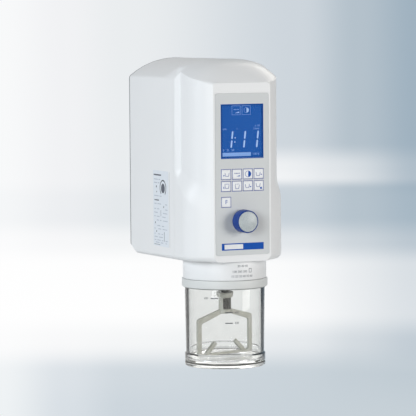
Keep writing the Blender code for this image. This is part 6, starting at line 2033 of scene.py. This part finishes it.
class MIXER_OT_stage(bpy.types.Operator):
    """Floor, background, lights and camera"""

    bl_idname = "mixer.stage"
    bl_label = "Stage"

    def execute(self, context):
        size = context.scene.mixer_stage
        context.scene.view_settings.view_transform = "Standard"
        self.floor(size)
        self.world(context, size)
        for name, side, rise, tint in LAMPS:
            self.light(name + "_light", side, rise, getattr(size, name + "_power"), tint)
        self.camera(context, size)
        return {"FINISHED"}

    def floor(self, size):
        """A pale round floor that fades out at its rim."""
        shape = bmesh.new()
        bmesh.ops.create_circle(shape, cap_ends=True, radius=size.floor_radius, segments=size.segments)
        bmesh.ops.translate(shape, verts=shape.verts, vec=(0, AXIS.y, -size.floor_drop))
        piece = add_object("floor", shape)
        pale = Finish("floor_pale")
        shift = add_node(pale.tree, "ShaderNodeMapping", add_place(pale.tree), (0, -AXIS.y, size.floor_drop))
        away = add_node(pale.tree, "ShaderNodeVectorMath", shift.outputs["Vector"], operation="LENGTH")
        span = (FLOOR_FADE * size.floor_radius, size.floor_radius, 1.0, 0.0)
        fade = add_node(pale.tree, "ShaderNodeMapRange", away.outputs["Value"], *span)
        fade.interpolation_type = "SMOOTHSTEP"
        pale.tree.links.new(fade.outputs["Result"], pale.shader.inputs["Alpha"])
        moulding = pale.group("moulded_grain", grain_scale=60.0, tone_scale=3.0)
        pale.shade(moulding["Tone"], tone(238, 240, 242), tone(234, 237, 239))
        pale.rough(moulding["Tone"], 0.7, 0.8)
        piece.data.materials.append(pale.material)

    def world(self, context, size):
        """Even light for the object, a pale background for what is seen, and its own view for glass."""
        context.scene.world = bpy.data.worlds.new("studio")
        room = Room(context.scene.world)
        even = room.light(EVEN, size.ambient)
        seen = room.light(room.background())
        path = add_node(room.tree, "ShaderNodeLightPath").outputs
        passed = path["Is Transmission Ray"]
        shown = add_math(room.tree, "MAXIMUM", path["Is Camera Ray"], path["Is Glossy Ray"])
        view = room.blend(passed, seen, room.behind_glass(size.through))
        either = add_math(room.tree, "MAXIMUM", shown, passed)
        add_node(room.tree, "ShaderNodeOutputWorld", room.blend(either, even, view))

    def light(self, name, side, rise, power, tint):
        """A square soft light that looks at the unit, from a side and a height in degrees."""
        lamp = bpy.data.lights.new(name, "AREA")
        lamp.size = LAMP_SIZE
        lamp.energy = power
        lamp.color = tint
        thing = bpy.data.objects.new(name, lamp)
        bpy.context.collection.objects.link(thing)
        back = direction(math.radians(side), math.radians(rise))
        turn = back.to_track_quat("Z", "Y").to_matrix().to_4x4()
        thing.matrix_world = Matrix.Translation(CAMERA_AIM + back * LAMP_DISTANCE) @ turn

    def camera(self, context, size):
        """The photograph's point of view."""
        right, up, back = camera_axes()
        lens = bpy.data.cameras.new("camera")
        lens.lens = size.lens
        lens.sensor_width = 36.0
        lens.sensor_fit = "HORIZONTAL"
        lens.clip_start = 0.1
        lens.clip_end = 50.0
        thing = bpy.data.objects.new("camera", lens)
        context.collection.objects.link(thing)
        turn = Matrix((right, up, back)).transposed().to_4x4()
        thing.matrix_world = Matrix.Translation(CAMERA_AIM + back * CAMERA_DISTANCE) @ turn
        context.scene.camera = thing


STEPS = (
    MIXER_OT_front_housing,
    MIXER_OT_rear_housing,
    MIXER_OT_keys,
    MIXER_OT_panel_print,
    MIXER_OT_display,
    MIXER_OT_knob,
    MIXER_OT_lid,
    MIXER_OT_bowl,
    MIXER_OT_paddle,
    MIXER_OT_side_plate,
    MIXER_OT_fasteners,
    MIXER_OT_inner_works,
    MIXER_OT_stage,
)

SETTINGS = {
    "mixer_housing": MixerHousing,
    "mixer_front": MixerFront,
    "mixer_bowl": MixerBowl,
    "mixer_colours": MixerColours,
    "mixer_stage": MixerStage,
}


class MIXER_PT_steps(bpy.types.Panel):
    """The steps that dress the unit, and their settings"""

    bl_idname = "MIXER_PT_steps"
    bl_label = "Vacuum mixing unit"
    bl_space_type = "VIEW_3D"
    bl_region_type = "UI"
    bl_category = "Mixer"

    def draw(self, context):
        for step in STEPS:
            self.layout.operator(step.bl_idname)
        for name, group in SETTINGS.items():
            box = self.layout.box()
            box.label(text=group.__doc__)
            for prop in group.__annotations__:
                box.prop(getattr(context.scene, name), prop)


def register():
    """Make the settings, the steps and the panel known."""
    for name, group in SETTINGS.items():
        bpy.utils.register_class(group)
        setattr(bpy.types.Scene, name, PointerProperty(type=group))
    for step in STEPS:
        bpy.utils.register_class(step)
    bpy.utils.register_class(MIXER_PT_steps)


def unregister():
    """Take them away again."""
    bpy.utils.unregister_class(MIXER_PT_steps)
    for step in reversed(STEPS):
        bpy.utils.unregister_class(step)
    for name, group in reversed(SETTINGS.items()):
        delattr(bpy.types.Scene, name)
        bpy.utils.unregister_class(group)


def main():
    """Dress the unit step by step."""
    register()
    make_moulded_grain()
    make_brushed_streaks()
    make_handled_patches()
    make_display_dots()
    FINISHES.update(make_finishes())
    for step in STEPS:
        group, name = step.bl_idname.split(".")
        getattr(getattr(bpy.ops, group), name)()


if __name__ == "__main__":
    main()
